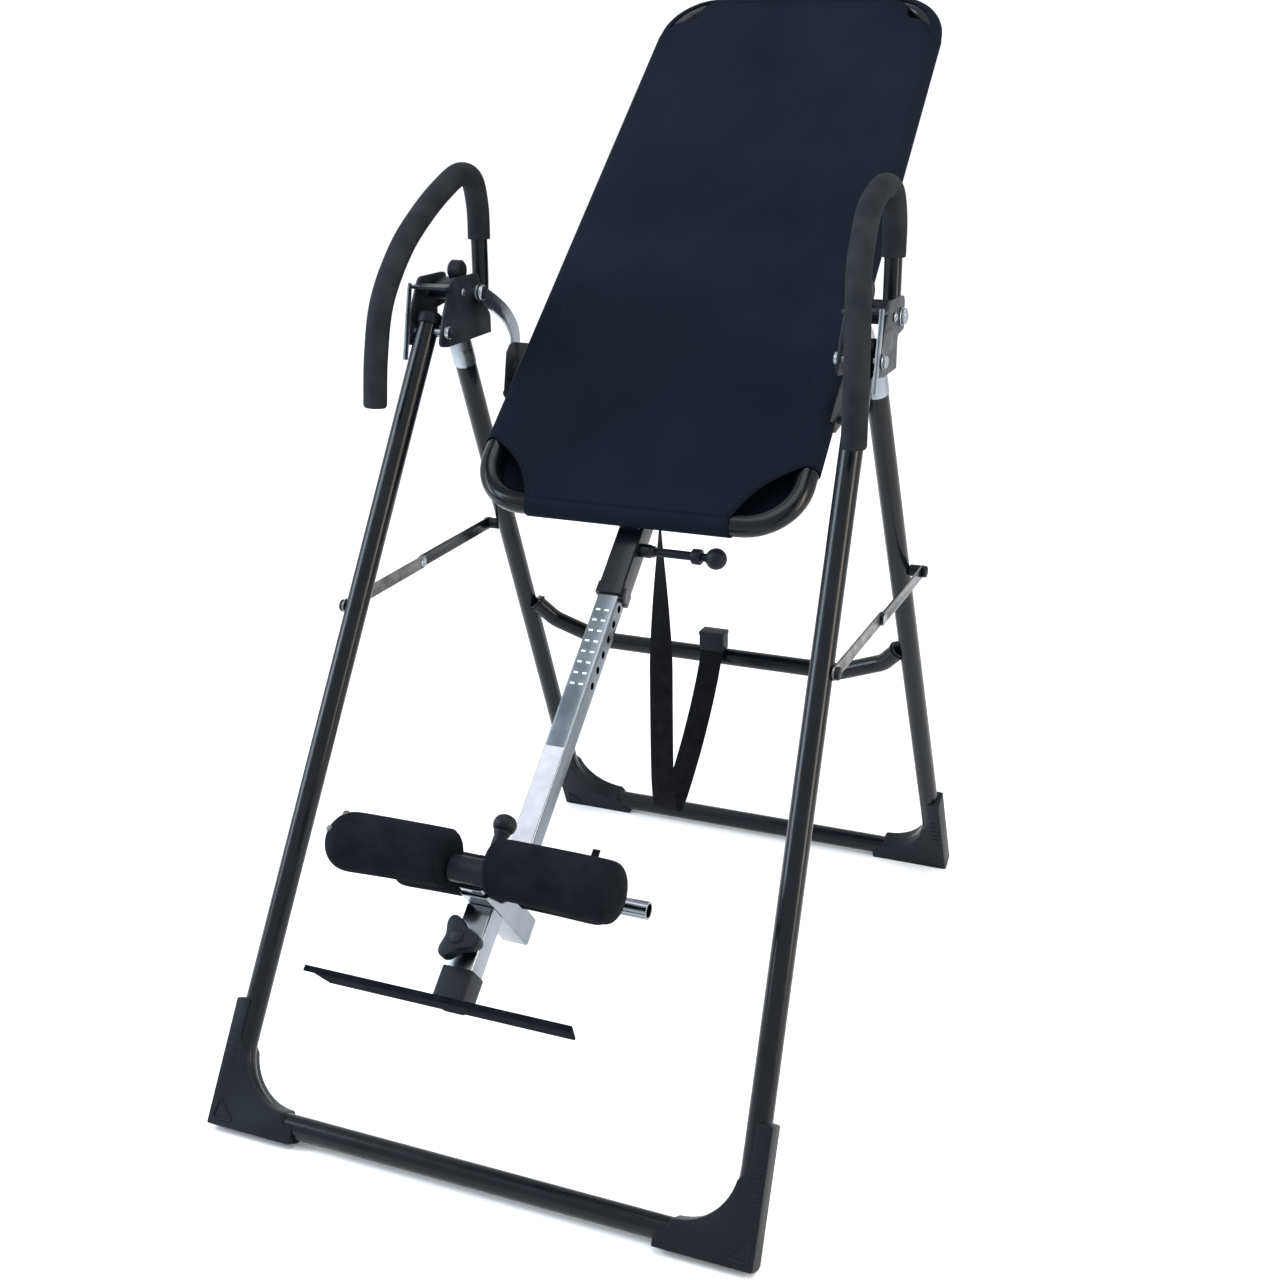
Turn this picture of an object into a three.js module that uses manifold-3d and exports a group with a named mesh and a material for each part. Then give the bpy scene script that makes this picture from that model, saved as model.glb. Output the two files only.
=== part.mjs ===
// Inversion table: a folding A-frame, a tilting fabric bed on two hinge arms, an adjustable
// height shaft with a spring pin, an ankle clamp and a foot plate.
// Millimetres, +Z up, +Y to the back (head end), +X to the right seen from the foot end.
// The origin is on the floor under the middle of the object's box.
import * as THREE from 'three';
import { mergeVertices } from 'three/addons/utils/BufferGeometryUtils.js';
import Module from 'manifold-3d';

const wasm = await Module();
wasm.setup();

// ---- driving dimensions -------------------------------------------------------------------
const ORIGIN_SHIFT = { y: -30.6 };       // brings the box's middle over the origin
const GAP = 0.3;                         // clearance between pieces that touch
const FRAME_TUBE = { radius: 16, bore: 14.5 };
const AXLE_HEIGHT = 22;                  // middle of both floor tubes above the floor
const LEG_APEX = 1068;                   // height where the leg centre lines would meet
const FRONT = { footY: -615, halfBase: 375, halfTop: 325, topZ: 1016 };
const REAR = { footY: 479, halfBase: 351, halfTop: 318, topZ: 1008 };
const CORNER_BEND = 92;

const PIVOT = { y: 50, z: 1045, radius: 7 };        // axis of the bed's hinge bolts
const FOLD_PIVOT = { y: -40, z: 1000, radius: 6 };  // axis of the front frame's fold bolts
const HOOK_PIN = { y: 14, z: 1050, radius: 4 };     // axis the lock hooks lift about
const BED_TILT = 40.2;                   // bed above the horizontal at rest, degrees
const BED_DROP = 138;                    // bed plane below the pivot, square to the bed
const BED_REACH = 288;                   // foot edge of the bed below the pivot, along the bed
const BED = { length: 1070, halfFoot: 260, halfHead: 243, bend: 75 };

const SHAFT = { size: 32, wall: 1.5, y: 42, foot: -558.7, head: 330 };
const RECEIVER = { size: 38, wall: 1.5, foot: -100, head: 300 };
const PIN_Z = -16;
const PIN_PITCH = 25;
const CLAMP = { z: -578, front: -50, back: 110, size: 38, wall: 1.75 };
const FRONT_PADS = { y: -82, z: -575 };
const REAR_AXLE = { y: 15, z: -549, radius: 9.5, left: -160, right: 203 };
const FOOT_POST = { y: -5, top: -597.5, bottom: -695, plateZ: -730 };

const STRUT = { z: 640, rearY: 196, midY: -30, frontY: -251.6, x: 362, thick: 3, width: 20 };
const HANDLE = { radius: 12.5, foam: 17 };
const BRACKET = { inner: 295.5, outer: 350.5, plate: 4 };

// ---- finishes -----------------------------------------------------------------------------
const finish = (color, roughness, metalness) => ({ color, roughness, metalness });
const GLOSS_BLACK = finish(0x15171a, 0.3, 0.4);
const BLACK_PLASTIC = finish(0x17181a, 0.55, 0);
const FOAM = finish(0x2b2d30, 0.9, 0);
const FABRIC = finish(0x171b24, 0.9, 0);
const WEBBING = finish(0x141414, 0.85, 0);
const CHROME = finish(0xc9ced4, 0.15, 1);
const ZINC = finish(0xa9b0b8, 0.35, 1);

// ---- small helpers ------------------------------------------------------------------------
const radians = THREE.MathUtils.degToRad;
const SIDES = [['left', -1], ['right', 1]];

/** A named mesh in a parent group. */
function add(parent, name, geometry, look) {
  const mesh = new THREE.Mesh(geometry, new THREE.MeshStandardMaterial(look));
  mesh.name = name;
  parent.add(mesh);
  return mesh;
}

/** A geometry's closed surface as a manifold-3d solid. */
function toSolid(geometry) {
  const bare = geometry.clone();
  bare.deleteAttribute('normal');
  bare.deleteAttribute('uv');
  const merged = mergeVertices(bare, 1e-4);
  return new wasm.Manifold(new wasm.Mesh({
    numProp: 3,
    vertProperties: new Float32Array(merged.attributes.position.array),
    triVerts: new Uint32Array(merged.index.array),
  }));
}

function toGeometry(solid) {
  const mesh = solid.getMesh();
  const geometry = new THREE.BufferGeometry();
  geometry.setAttribute('position', new THREE.BufferAttribute(mesh.vertProperties, 3));
  geometry.setIndex(new THREE.BufferAttribute(mesh.triVerts, 1));
  geometry.computeVertexNormals();
  return geometry;
}

function cut(geometry, ...cutters) {
  return toGeometry(cutters.reduce((left, next) => left.subtract(toSolid(next)), toSolid(geometry)));
}

function join(geometry, ...others) {
  return toGeometry(others.reduce((left, next) => left.add(toSolid(next)), toSolid(geometry)));
}

/** Straight runs joined by round bends; a straight run costs one step, a bend a few. */
class BentPath extends THREE.Curve {
  constructor(corners, bend, bendSteps = 5) {
    super();
    this.stations = [];
    const last = corners.length - 1;
    corners.forEach((corner, i) => {
      if (i === 0 || i === last) {
        const tangent = corners[i === 0 ? 1 : last].clone().sub(corners[i === 0 ? 0 : last - 1]);
        this.stations.push({ point: corner.clone(), tangent: tangent.normalize() });
        return;
      }
      const before = corner.clone().sub(corners[i - 1]).normalize();
      const after = corners[i + 1].clone().sub(corner).normalize();
      const turn = before.angleTo(after);
      const centre = corner.clone().add(
        after.clone().sub(before).normalize().multiplyScalar(bend / Math.cos(turn / 2)));
      const axis = before.clone().cross(after).normalize();
      const start = corner.clone().addScaledVector(before, -bend * Math.tan(turn / 2)).sub(centre);
      for (let k = 0; k <= bendSteps; k += 1) {
        const angle = turn * k / bendSteps;
        this.stations.push({
          point: start.clone().applyAxisAngle(axis, angle).add(centre),
          tangent: before.clone().applyAxisAngle(axis, angle),
        });
      }
    });
  }

  get steps() { return this.stations.length - 1; }

  stationAt(u) { return this.stations[Math.round(u * this.steps)]; }

  getPointAt(u, target = new THREE.Vector3()) { return target.copy(this.stationAt(u).point); }

  getTangentAt(u, target = new THREE.Vector3()) { return target.copy(this.stationAt(u).tangent); }

  getSpacedPoints() { return this.stations.map((station) => station.point.clone()); }
}

/** A circle, with a bore when one is given. */
function ring(radius, bore) {
  const shape = new THREE.Shape().absarc(0, 0, radius, 0, 2 * Math.PI);
  if (bore) shape.holes.push(new THREE.Path().absarc(0, 0, bore, 0, 2 * Math.PI, true));
  return shape;
}

function tube(path, radius, bore, curveSegments = 6) {
  return new THREE.ExtrudeGeometry(ring(radius, bore), {
    steps: path.steps, extrudePath: path, curveSegments,
  });
}

/** A square section, with a square bore when a wall is given. */
function square(size, wall) {
  const half = size / 2;
  const corners = (reach) => [[-1, -1], [1, -1], [1, 1], [-1, 1]]
    .map(([x, y]) => new THREE.Vector2(x * reach, y * reach));
  const shape = new THREE.Shape(corners(half));
  if (wall) shape.holes.push(new THREE.Path(corners(half - wall).reverse()));
  return shape;
}

/** An outline with every corner rounded by the same reach. */
function rounded(points, reach) {
  const shape = new THREE.Shape();
  const corners = points.map(([x, y]) => new THREE.Vector2(x, y));
  if (THREE.ShapeUtils.area(corners) < 0) corners.reverse();
  corners.forEach((corner, i) => {
    const before = corners[(i + corners.length - 1) % corners.length];
    const after = corners[(i + 1) % corners.length];
    const from = before.clone().sub(corner).setLength(reach).add(corner);
    const to = after.clone().sub(corner).setLength(reach).add(corner);
    if (i === 0) shape.moveTo(from.x, from.y);
    else shape.lineTo(from.x, from.y);
    shape.quadraticCurveTo(corner.x, corner.y, to.x, to.y);
  });
  shape.closePath();
  return shape;
}

/** A hole for a pin of the given radius: its flats stay clear of the round pin. */
function hole(x, y, pinRadius) {
  return new THREE.Path().absarc(x, y, pinRadius * 1.09 + GAP, 0, 2 * Math.PI, true);
}

function extrude(shape, depth, curveSegments = 4) {
  return new THREE.ExtrudeGeometry(shape, { depth, bevelEnabled: false, curveSegments });
}

const AXIS = {
  x: new THREE.Vector3(1, 0, 0), y: new THREE.Vector3(0, 1, 0), z: new THREE.Vector3(0, 0, 1),
};

/** A shape drawn in the Y-Z plane and extruded along X from x. */
function acrossX(shape, depth, x, curveSegments) {
  return extrude(shape, depth, curveSegments)
    .applyMatrix4(new THREE.Matrix4().makeBasis(AXIS.y, AXIS.z, AXIS.x))
    .translate(x, 0, 0);
}

/** A shape drawn in the Z-X plane and extruded along Y from y. */
function acrossY(shape, depth, y, curveSegments) {
  return extrude(shape, depth, curveSegments)
    .applyMatrix4(new THREE.Matrix4().makeBasis(AXIS.z, AXIS.x, AXIS.y))
    .translate(0, y, 0);
}

/** A turned piece about X through (y, z): the profile lists [radius, x] from axis to axis. */
function turnedX(profile, y, z, segments = 12) {
  const points = profile.map(([radius, x]) => new THREE.Vector2(radius, x));
  return new THREE.LatheGeometry(points, segments)
    .applyMatrix4(new THREE.Matrix4().makeBasis(AXIS.z, AXIS.x, AXIS.y))
    .translate(0, y, z);
}

/** The same, mirrored to the left side when side is -1 (the profile order is turned too). */
function turnedSide(side, profile, y, z, segments) {
  const placed = profile.map(([radius, x]) => [radius, side * x]);
  return turnedX(side > 0 ? placed : placed.reverse(), y, z, segments);
}

/** A pin profile on the axis: pairs of [radius, x from, x to]. */
const stepped = (...steps) => [
  [0, steps[0][1]],
  ...steps.flatMap(([radius, from, to]) => [[radius, from], [radius, to]]),
  [0, steps.at(-1)[2]],
];

const point = (x, y, z) => new THREE.Vector3(x, y, z);

/** A plate given by its right-hand x range, on either side. */
const plateX = (side, from, to) => (side > 0 ? from : -to);

// ---- floor frames -------------------------------------------------------------------------
/** A leg frame in its own plane: X across, Z up the legs from the floor tube. */
function legFrame(spec, tiltSign) {
  const tilt = Math.atan(Math.abs(spec.footY) / (LEG_APEX - AXLE_HEIGHT));
  const apex = (LEG_APEX - AXLE_HEIGHT) / Math.cos(tilt);
  const group = new THREE.Group();
  group.position.set(0, spec.footY, AXLE_HEIGHT);
  group.rotation.x = tiltSign * tilt;
  const halfAt = (along) => spec.halfBase - (spec.halfBase - spec.halfTop) * along / apex;
  const top = (spec.topZ - AXLE_HEIGHT) / Math.cos(tilt);
  const path = new BentPath([
    point(-halfAt(top), 0, top), point(-spec.halfBase, 0, 0),
    point(spec.halfBase, 0, 0), point(halfAt(top), 0, top),
  ], CORNER_BEND);
  const alongAt = (z) => (z - AXLE_HEIGHT) / Math.cos(tilt);
  return { group, path, halfAt, alongAt, rotation: tiltSign * tilt };
}

/** A bore through both legs, across X. */
function legBore(frame, z, radius) {
  const along = frame.alongAt(z);
  return turnedX(stepped([radius, -420, 420]), 0, along);
}

/** A moulded corner foot round the bend of the floor tube, flat where it meets the floor. */
function cornerFoot(frame, spec, side) {
  const outer = 22;
  const up = 128;
  const inward = 112;
  const thickness = 42;
  const edge = spec.halfBase + outer;
  const lean = spec.halfBase - frame.halfAt(up);
  const outline = new THREE.Shape();
  outline.moveTo(edge, -outer);
  outline.lineTo(edge - lean, up);
  outline.lineTo(edge - lean - 2 * outer, up);
  outline.lineTo(edge - 2 * outer - lean / 2, CORNER_BEND - outer);
  outline.quadraticCurveTo(edge - 2 * outer, outer, spec.halfBase - CORNER_BEND, outer);
  outline.lineTo(edge - inward - outer, outer);
  outline.lineTo(edge - inward - outer, -outer);
  outline.closePath();
  const block = extrude(outline, thickness, 5).translate(0, 0, -thickness / 2)
    .rotateX(Math.PI / 2);
  const floor = new THREE.BoxGeometry(1000, 400, 100).translate(0, 0, -AXLE_HEIGHT - 50)
    .rotateX(-frame.rotation);
  const channel = tube(frame.path, FRAME_TUBE.radius + GAP, 0);
  const right = toSolid(cut(block, floor, channel));
  return toGeometry(side > 0 ? right : right.mirror([1, 0, 0]));
}

function floorFrame(name, spec, tiltSign, bores) {
  const frame = legFrame(spec, tiltSign);
  const loop = tube(frame.path, FRAME_TUBE.radius, FRAME_TUBE.bore);
  add(frame.group, `${name}_frame_tube`, cut(loop, ...bores.map(([z, r]) => legBore(frame, z, r))),
    GLOSS_BLACK);
  for (const [label, side] of SIDES) {
    add(frame.group, `${name}_foot_${label}`, cornerFoot(frame, spec, side), BLACK_PLASTIC);
  }
  return frame;
}

const STRUT_BOLT = 5;
const front = floorFrame('front', FRONT, -1, [[FOLD_PIVOT.z, 6.5]]);
const rear = floorFrame('rear', REAR, 1, []);

/** The dropped crossbar between the rear legs. */
function crossbar() {
  const radius = 14;
  const high = rear.alongAt(500);
  const low = rear.alongAt(418);
  const reach = rear.halfAt(high);
  const path = new BentPath([
    point(-reach, 0, high), point(-215, 0, low), point(215, 0, low), point(reach, 0, high),
  ], 90, 3);
  const legs = tube(rear.path, FRAME_TUBE.radius + GAP, 0, 8);
  add(rear.group, 'rear_crossbar', cut(tube(path, radius, radius - 1.5, 5), legs), GLOSS_BLACK);
}
crossbar();

// ---- hinges, handles and side struts ------------------------------------------------------
const fixed = new THREE.Group();

function hingeBracket(label, side) {
  const outline = () => {
    const shape = rounded([
      [-60, 984], [-42, 1030], [-14, 1074], [64, 1072], [78, 1022], [98, 1008], [98, 966],
      [22, 958], [-32, 972],
    ], 9);
    shape.holes.push(hole(PIVOT.y, PIVOT.z, PIVOT.radius));
    shape.holes.push(hole(FOLD_PIVOT.y, FOLD_PIVOT.z, FOLD_PIVOT.radius));
    shape.holes.push(hole(HOOK_PIN.y, HOOK_PIN.z, HOOK_PIN.radius));
    return shape;
  };
  const { inner, outer, plate } = BRACKET;
  const webWidth = outer - inner + plate;
  const web = new THREE.BoxGeometry(webWidth, 30, plate)
    .translate(side * (inner + webWidth / 2), -23, 1062);
  const innerPlate = acrossX(outline(), plate, plateX(side, inner, inner + plate));
  const outerPlate = acrossX(outline(), plate, plateX(side, outer, outer + plate));
  add(fixed, `hinge_bracket_${label}`, join(innerPlate, outerPlate, web), ZINC);
}

/** A bolt through the hinge bracket, from its inner head to its outer one. */
function hingeBolt(name, side, axis, headRadius, from, inner, to) {
  const outer = BRACKET.outer + BRACKET.plate + 0.5;
  add(fixed, name, turnedSide(side, stepped([headRadius, from, inner], [axis.radius, inner, outer],
    [headRadius, outer, to]), axis.y, axis.z), ZINC);
}

function hinge(label, side) {
  hingeBracket(label, side);
  const plateFace = BRACKET.inner - 0.4;
  hingeBolt(`pivot_bolt_${label}`, side, PIVOT, 12, 278, 283.5, 362);
  hingeBolt(`fold_bolt_${label}`, side, FOLD_PIVOT, 10, 289, plateFace, 361);
  hingeBolt(`hook_pin_${label}`, side, HOOK_PIN, 6, 292.5, plateFace, 358);
}

/** The black lock hook that drops over the pivot bolt. */
function lockHook(label, side) {
  const inside = 11;
  const outside = 21;
  const eye = 11;
  const shape = new THREE.Shape();
  shape.moveTo(PIVOT.y + inside, PIVOT.z);
  shape.lineTo(PIVOT.y + outside, PIVOT.z);
  shape.absarc(PIVOT.y, PIVOT.z, outside, 0, radians(95));
  shape.lineTo(HOOK_PIN.y, HOOK_PIN.z + eye);
  shape.absarc(HOOK_PIN.y, HOOK_PIN.z, eye, radians(90), radians(270));
  shape.lineTo(PIVOT.y - inside, PIVOT.z - 6);
  shape.absarc(PIVOT.y, PIVOT.z, inside, radians(180), 0, true);
  shape.closePath();
  shape.holes.push(hole(HOOK_PIN.y, HOOK_PIN.z, HOOK_PIN.radius));
  add(fixed, `lock_hook_${label}`, acrossX(shape, 42, plateX(side, 304, 346), 5), BLACK_PLASTIC);
}

/** Centre line of a hand rail: up behind the hinge, over, and down in front of the leg. */
function handleCurve(side) {
  const route = [
    [322, 66, 987], [322, 88, 988], [322, 112, 1003], [322, 119, 1040], [322, 121, 1110],
    [322, 120, 1165], [321, 104, 1202], [320, 68, 1213], [319, 10, 1197], [325, -45, 1165],
    [333, -92, 1124], [345, -132, 1055], [350, -149, 980], [352, -157, 908],
  ];
  return new THREE.CatmullRomCurve3(route.map(([x, y, z]) => point(side * x, y, z)), false,
    'centripetal');
}

/** Evenly spaced stations of a curve, from one station number to another. */
class Stretch extends THREE.Curve {
  constructor(curve, stations, from, to) {
    super();
    Object.assign(this, { curve, stations, from, steps: to - from });
  }

  shareAt(u) { return (this.from + Math.round(u * this.steps)) / this.stations; }

  getPointAt(u, target) { return this.curve.getPointAt(this.shareAt(u), target); }

  getTangentAt(u, target) { return this.curve.getTangentAt(this.shareAt(u), target); }

  getSpacedPoints() {
    return Array.from({ length: this.steps + 1 }, (_, i) => this.getPointAt(i / this.steps));
  }
}

/** The bare steel rail, and the foam grip over all but its lower back end. */
function handle(label, side) {
  const curve = handleCurve(side);
  const stations = 22;
  const foamFrom = 5;
  const bar = new Stretch(curve, stations, 0, stations - 1);
  const foam = new Stretch(curve, stations, foamFrom, stations);
  add(fixed, `handle_${label}`, tube(bar, HANDLE.radius, HANDLE.radius - 1.5, 4), GLOSS_BLACK);
  add(fixed, `handle_grip_${label}`, tube(foam, HANDLE.foam, HANDLE.radius * 1.09 + GAP, 4), FOAM);
}

/** A flat link with round ends and a hole at each end. */
function link(fromY, toY, holes) {
  const half = STRUT.width / 2;
  const shape = new THREE.Shape();
  shape.moveTo(fromY, STRUT.z + half);
  shape.absarc(fromY, STRUT.z, half, radians(90), radians(270));
  shape.lineTo(toY, STRUT.z - half);
  shape.absarc(toY, STRUT.z, half, radians(-90), radians(90));
  shape.closePath();
  for (const y of holes) shape.holes.push(hole(y, STRUT.z, STRUT_BOLT));
  return shape;
}

function strut(label, side) {
  const inner = STRUT.x;
  const middle = inner + STRUT.thick;
  const outer = middle + STRUT.thick + GAP;
  const legFace = rear.halfAt(rear.alongAt(STRUT.z)) + FRAME_TUBE.radius;
  const front = plateX(side, inner, middle);
  const back = plateX(side, middle + GAP, outer);
  add(fixed, `strut_front_link_${label}`, acrossX(link(STRUT.frontY, STRUT.midY,
    [STRUT.frontY, STRUT.midY]), STRUT.thick, front), GLOSS_BLACK);
  add(fixed, `strut_rear_link_${label}`, acrossX(link(STRUT.midY, STRUT.rearY,
    [STRUT.midY, STRUT.rearY]), STRUT.thick, back), GLOSS_BLACK);
  add(fixed, `strut_mid_rivet_${label}`, turnedSide(side, stepped([8, inner - 2, inner - GAP],
    [STRUT_BOLT, inner - GAP, outer + GAP], [8, outer + GAP, outer + 3]), STRUT.midY, STRUT.z),
  ZINC);
  add(fixed, `strut_rear_bolt_${label}`, turnedSide(side, stepped([9, legFace + GAP, middle],
    [STRUT_BOLT, middle, outer + GAP], [9, outer + GAP, outer + 6]), STRUT.rearY, STRUT.z),
  BLACK_PLASTIC);
  add(fixed, `strut_front_bolt_${label}`, turnedSide(side, stepped([STRUT_BOLT, inner, middle + GAP],
    [9, middle + GAP, middle + 6]), STRUT.frontY, STRUT.z), BLACK_PLASTIC);
}

for (const [label, side] of SIDES) {
  hinge(label, side);
  lockHook(label, side);
  handle(label, side);
  strut(label, side);
}

// ---- bed ----------------------------------------------------------------------------------
const bed = new THREE.Group();
bed.position.set(0, PIVOT.y, PIVOT.z);
bed.rotation.x = -radians(90 - BED_TILT);
const bedPlane = new THREE.Group();
bedPlane.position.set(0, BED_DROP, -BED_REACH);
bed.add(bedPlane);

/** Inside the bed plane: X across, +Y out of the back, Z up the bed from its foot edge. */
function bedFrame() {
  const { radius, bore } = FRAME_TUBE;
  const foot = BED.halfFoot - radius;
  const head = BED.halfHead - radius;
  const top = BED.length - radius;
  const seam = GAP;
  const loop = new BentPath([
    point(seam, 0, radius), point(foot, 0, radius), point(head, 0, top),
    point(-head, 0, top), point(-foot, 0, radius), point(-seam, 0, radius),
  ], BED.bend);
  add(bedPlane, 'bed_frame_tube', tube(loop, radius, bore), GLOSS_BLACK);
}

/** The fabric between the tubes, a plain slab near the lying side. */
function bedCover() {
  const inset = 2 * FRAME_TUBE.radius + 1.5;
  const shape = rounded([
    [-BED.halfFoot + inset, inset], [BED.halfFoot - inset, inset],
    [BED.halfHead - inset, BED.length - inset], [-BED.halfHead + inset, BED.length - inset],
  ], BED.bend);
  const slab = extrude(shape, 6).rotateX(Math.PI / 2).translate(0, -6, 0);
  add(bedPlane, 'bed_cover', slab, FABRIC);
}

function hingeArm(label, side) {
  const shape = rounded([
    [-18, -18], [-18, 18], [62, 17], [122, 8], [156, -4], [156, -64], [118, -52], [60, -19],
  ], 12);
  shape.holes.push(hole(0, 0, PIVOT.radius));
  add(bed, `hinge_arm_${label}`, acrossX(shape, 5, plateX(side, 284, 289)), ZINC);
}

/** A short box section on the side tube that the hinge arm bolts to. */
function armBracket(label, side) {
  const width = 26.3;
  const depth = 30;
  const wall = 3;
  const from = plateX(side, 257.3, 257.3 + width);
  const rectangle = (inset) => [
    [from + inset, inset - depth / 2], [from + width - inset, inset - depth / 2],
    [from + width - inset, depth / 2 - inset], [from + inset, depth / 2 - inset],
  ].map(([x, y]) => new THREE.Vector2(x, y));
  const section = new THREE.Shape(rectangle(0));
  section.holes.push(new THREE.Path(rectangle(wall).reverse()));
  add(bedPlane, `arm_bracket_${label}`, extrude(section, 160).translate(0, 0, 205), GLOSS_BLACK);
}

/** The square sleeve that holds the height shaft, and the cradle tube that carries it. */
function receiver() {
  const { size, wall, foot, head } = RECEIVER;
  const length = head - foot;
  const sleeve = extrude(square(size, wall), length).translate(0, SHAFT.y, foot);
  const pinHole = turnedX(stepped([6, size / 2 - 4, size / 2 + 4]), SHAFT.y, PIN_Z, 10);
  const spacer = new THREE.BoxGeometry(30, 8, 60).translate(0, SHAFT.y - size / 2 - 3, 34);
  const loopClear = new THREE.BoxGeometry(34, 8, 40)
    .translate(0, FRAME_TUBE.radius - 4 + GAP, FRAME_TUBE.radius);
  add(bedPlane, 'shaft_receiver', join(cut(sleeve, pinHole), cut(spacer, loopClear)), GLOSS_BLACK);
  const across = SHAFT.y + size / 2 + GAP + 12.5;
  const side = BED.halfFoot - FRAME_TUBE.radius - 5;
  const path = new BentPath([
    point(-side, FRAME_TUBE.radius + 0.5, 280), point(-side, across, 280),
    point(side, across, 280), point(side, FRAME_TUBE.radius + 0.5, 280),
  ], 34, 3);
  add(bedPlane, 'bed_cradle_tube', tube(path, 12.5, 11, 5), GLOSS_BLACK);
}

/** The steel loop under the sleeve that holds the safety strap. */
function strapLoop() {
  const from = SHAFT.y + RECEIVER.size / 2 + 0.5;
  const path = new BentPath([
    point(-24, from, 110), point(-24, from + 20, 110), point(24, from + 20, 110),
    point(24, from, 110),
  ], 7, 3);
  add(bedPlane, 'strap_loop', tube(path, 3, 0, 4), ZINC);
}

function heightPin() {
  const wall = RECEIVER.size / 2;
  add(bedPlane, 'height_pin_bush', turnedX([
    [5.6, wall + GAP], [10, wall + GAP], [10, wall + 20], [8, wall + 22], [5.6, wall + 22],
    [5.6, wall + GAP],
  ], SHAFT.y, PIN_Z, 12), GLOSS_BLACK);
  const ball = 13.5;
  const ballX = 127;
  const knob = Array.from({ length: 7 }, (_, i) => {
    const angle = radians(-70 + i * 160 / 6);
    return [ball * Math.cos(angle), ballX + ball * Math.sin(angle)];
  });
  add(bedPlane, 'height_pin', turnedX([
    [0, wall - 1.2], [5, wall - 1.2], [5, wall + 26], [7, wall + 27], [7, 96], [10, 97],
    [10, 107], [6, 108], ...knob, [0, ballX + ball],
  ], SHAFT.y, PIN_Z, 12), BLACK_PLASTIC);
}

bedFrame();
bedCover();
receiver();
strapLoop();
heightPin();
for (const [label, side] of SIDES) {
  hingeArm(label, side);
  armBracket(label, side);
}

// ---- height shaft, ankle clamp and foot plate ---------------------------------------------
function mainShaft() {
  const { size, wall, y, foot, head } = SHAFT;
  const bar = extrude(square(size, wall), head - foot).translate(0, y, foot);
  const holes = Array.from({ length: 10 }, (_, i) => turnedX(
    stepped([5.5, size / 2 - 4, size / 2 + 4]), y, PIN_Z - i * PIN_PITCH, 8));
  add(bedPlane, 'main_shaft', cut(bar, ...holes), CHROME);
}

function ankleSleeve() {
  const { z, front: from, back, size, wall } = CLAMP;
  const sleeve = acrossY(square(size, wall), back - from, from).translate(0, 0, z);
  const pinHole = new THREE.CylinderGeometry(5, 5, 12, 8).rotateX(Math.PI / 2)
    .translate(0, -35, z + size / 2);
  add(bedPlane, 'ankle_sleeve', cut(sleeve, pinHole), CHROME);
  const { left, right, radius, y, z: axleZ } = REAR_AXLE;
  const axle = acrossX(ring(radius, radius - 1.5), right - left, left, 6).translate(0, y, axleZ);
  add(bedPlane, 'rear_axle', axle, CHROME);
}

/** A turned ankle pad: thicker towards its round outer end. */
function pad(side, from, to, bore, radii, y, z) {
  const [thin, thick] = radii;
  const reach = to - from;
  const round = 26;
  const outline = [
    [bore, from], [thin - 5, from], [thin, from + 8], [thin + 1, from + reach * 0.4],
    [thick, to - round * 1.6], [thick - 2, to - round], [thick - 9, to - round * 0.35],
    [thick - 20, to], [bore, to], [bore, from],
  ];
  return turnedSide(side, outline, y, z, 14);
}

function rearPads() {
  for (const [label, side] of SIDES) {
    add(bedPlane, `rear_ankle_pad_${label}`, pad(side, 27, 158, REAR_AXLE.radius + GAP, [31, 33],
      REAR_AXLE.y, REAR_AXLE.z), FOAM);
  }
}

function footSleeve() {
  const { y, top, bottom } = FOOT_POST;
  const length = top - bottom;
  const sleeve = extrude(square(38, 1.75), length).translate(0, y, bottom);
  const screwHole = new THREE.CylinderGeometry(4.6, 4.6, 10, 8).translate(0, y - 19, -652);
  add(bedPlane, 'foot_post_sleeve', cut(sleeve, screwHole), CHROME);
  add(bedPlane, 'foot_post_collar', extrude(square(41, 4), 26).translate(0, y, bottom - 26.3),
    BLACK_PLASTIC);
}

/** The foot plate with flared ends, welded to a square post. */
function footPlate() {
  const { y, plateZ } = FOOT_POST;
  const shape = rounded([[-183, -60], [183, -60], [170, 2], [-170, 2]], 5);
  const plate = extrude(shape, 4, 2).translate(0, 0, plateZ - 2);
  const post = extrude(square(30, 2), 112).translate(0, y, plateZ);
  const mouth = new THREE.BoxGeometry(25, 25, 20).translate(0, y, plateZ);
  add(bedPlane, 'foot_plate', join(plate, cut(post, mouth)), GLOSS_BLACK);
}

/** A three-lobed clamping knob on its screw, in front of the foot sleeve. */
function footKnob() {
  const lobes = 3;
  const count = 24;
  const outline = Array.from({ length: count }, (_, i) => {
    const angle = 2 * Math.PI * i / count;
    const reach = 21 + 6.5 * Math.cos(lobes * angle);
    return new THREE.Vector2(reach * Math.cos(angle), reach * Math.sin(angle));
  });
  const face = FOOT_POST.y - 19;
  const head = acrossY(new THREE.Shape(outline), 20, face - 34).translate(0, 0, -652);
  const screw = new THREE.CylinderGeometry(4, 4, 20, 8).translate(0, face - 6.5, -652);
  add(bedPlane, 'foot_knob', join(head, screw), BLACK_PLASTIC);
}

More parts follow.
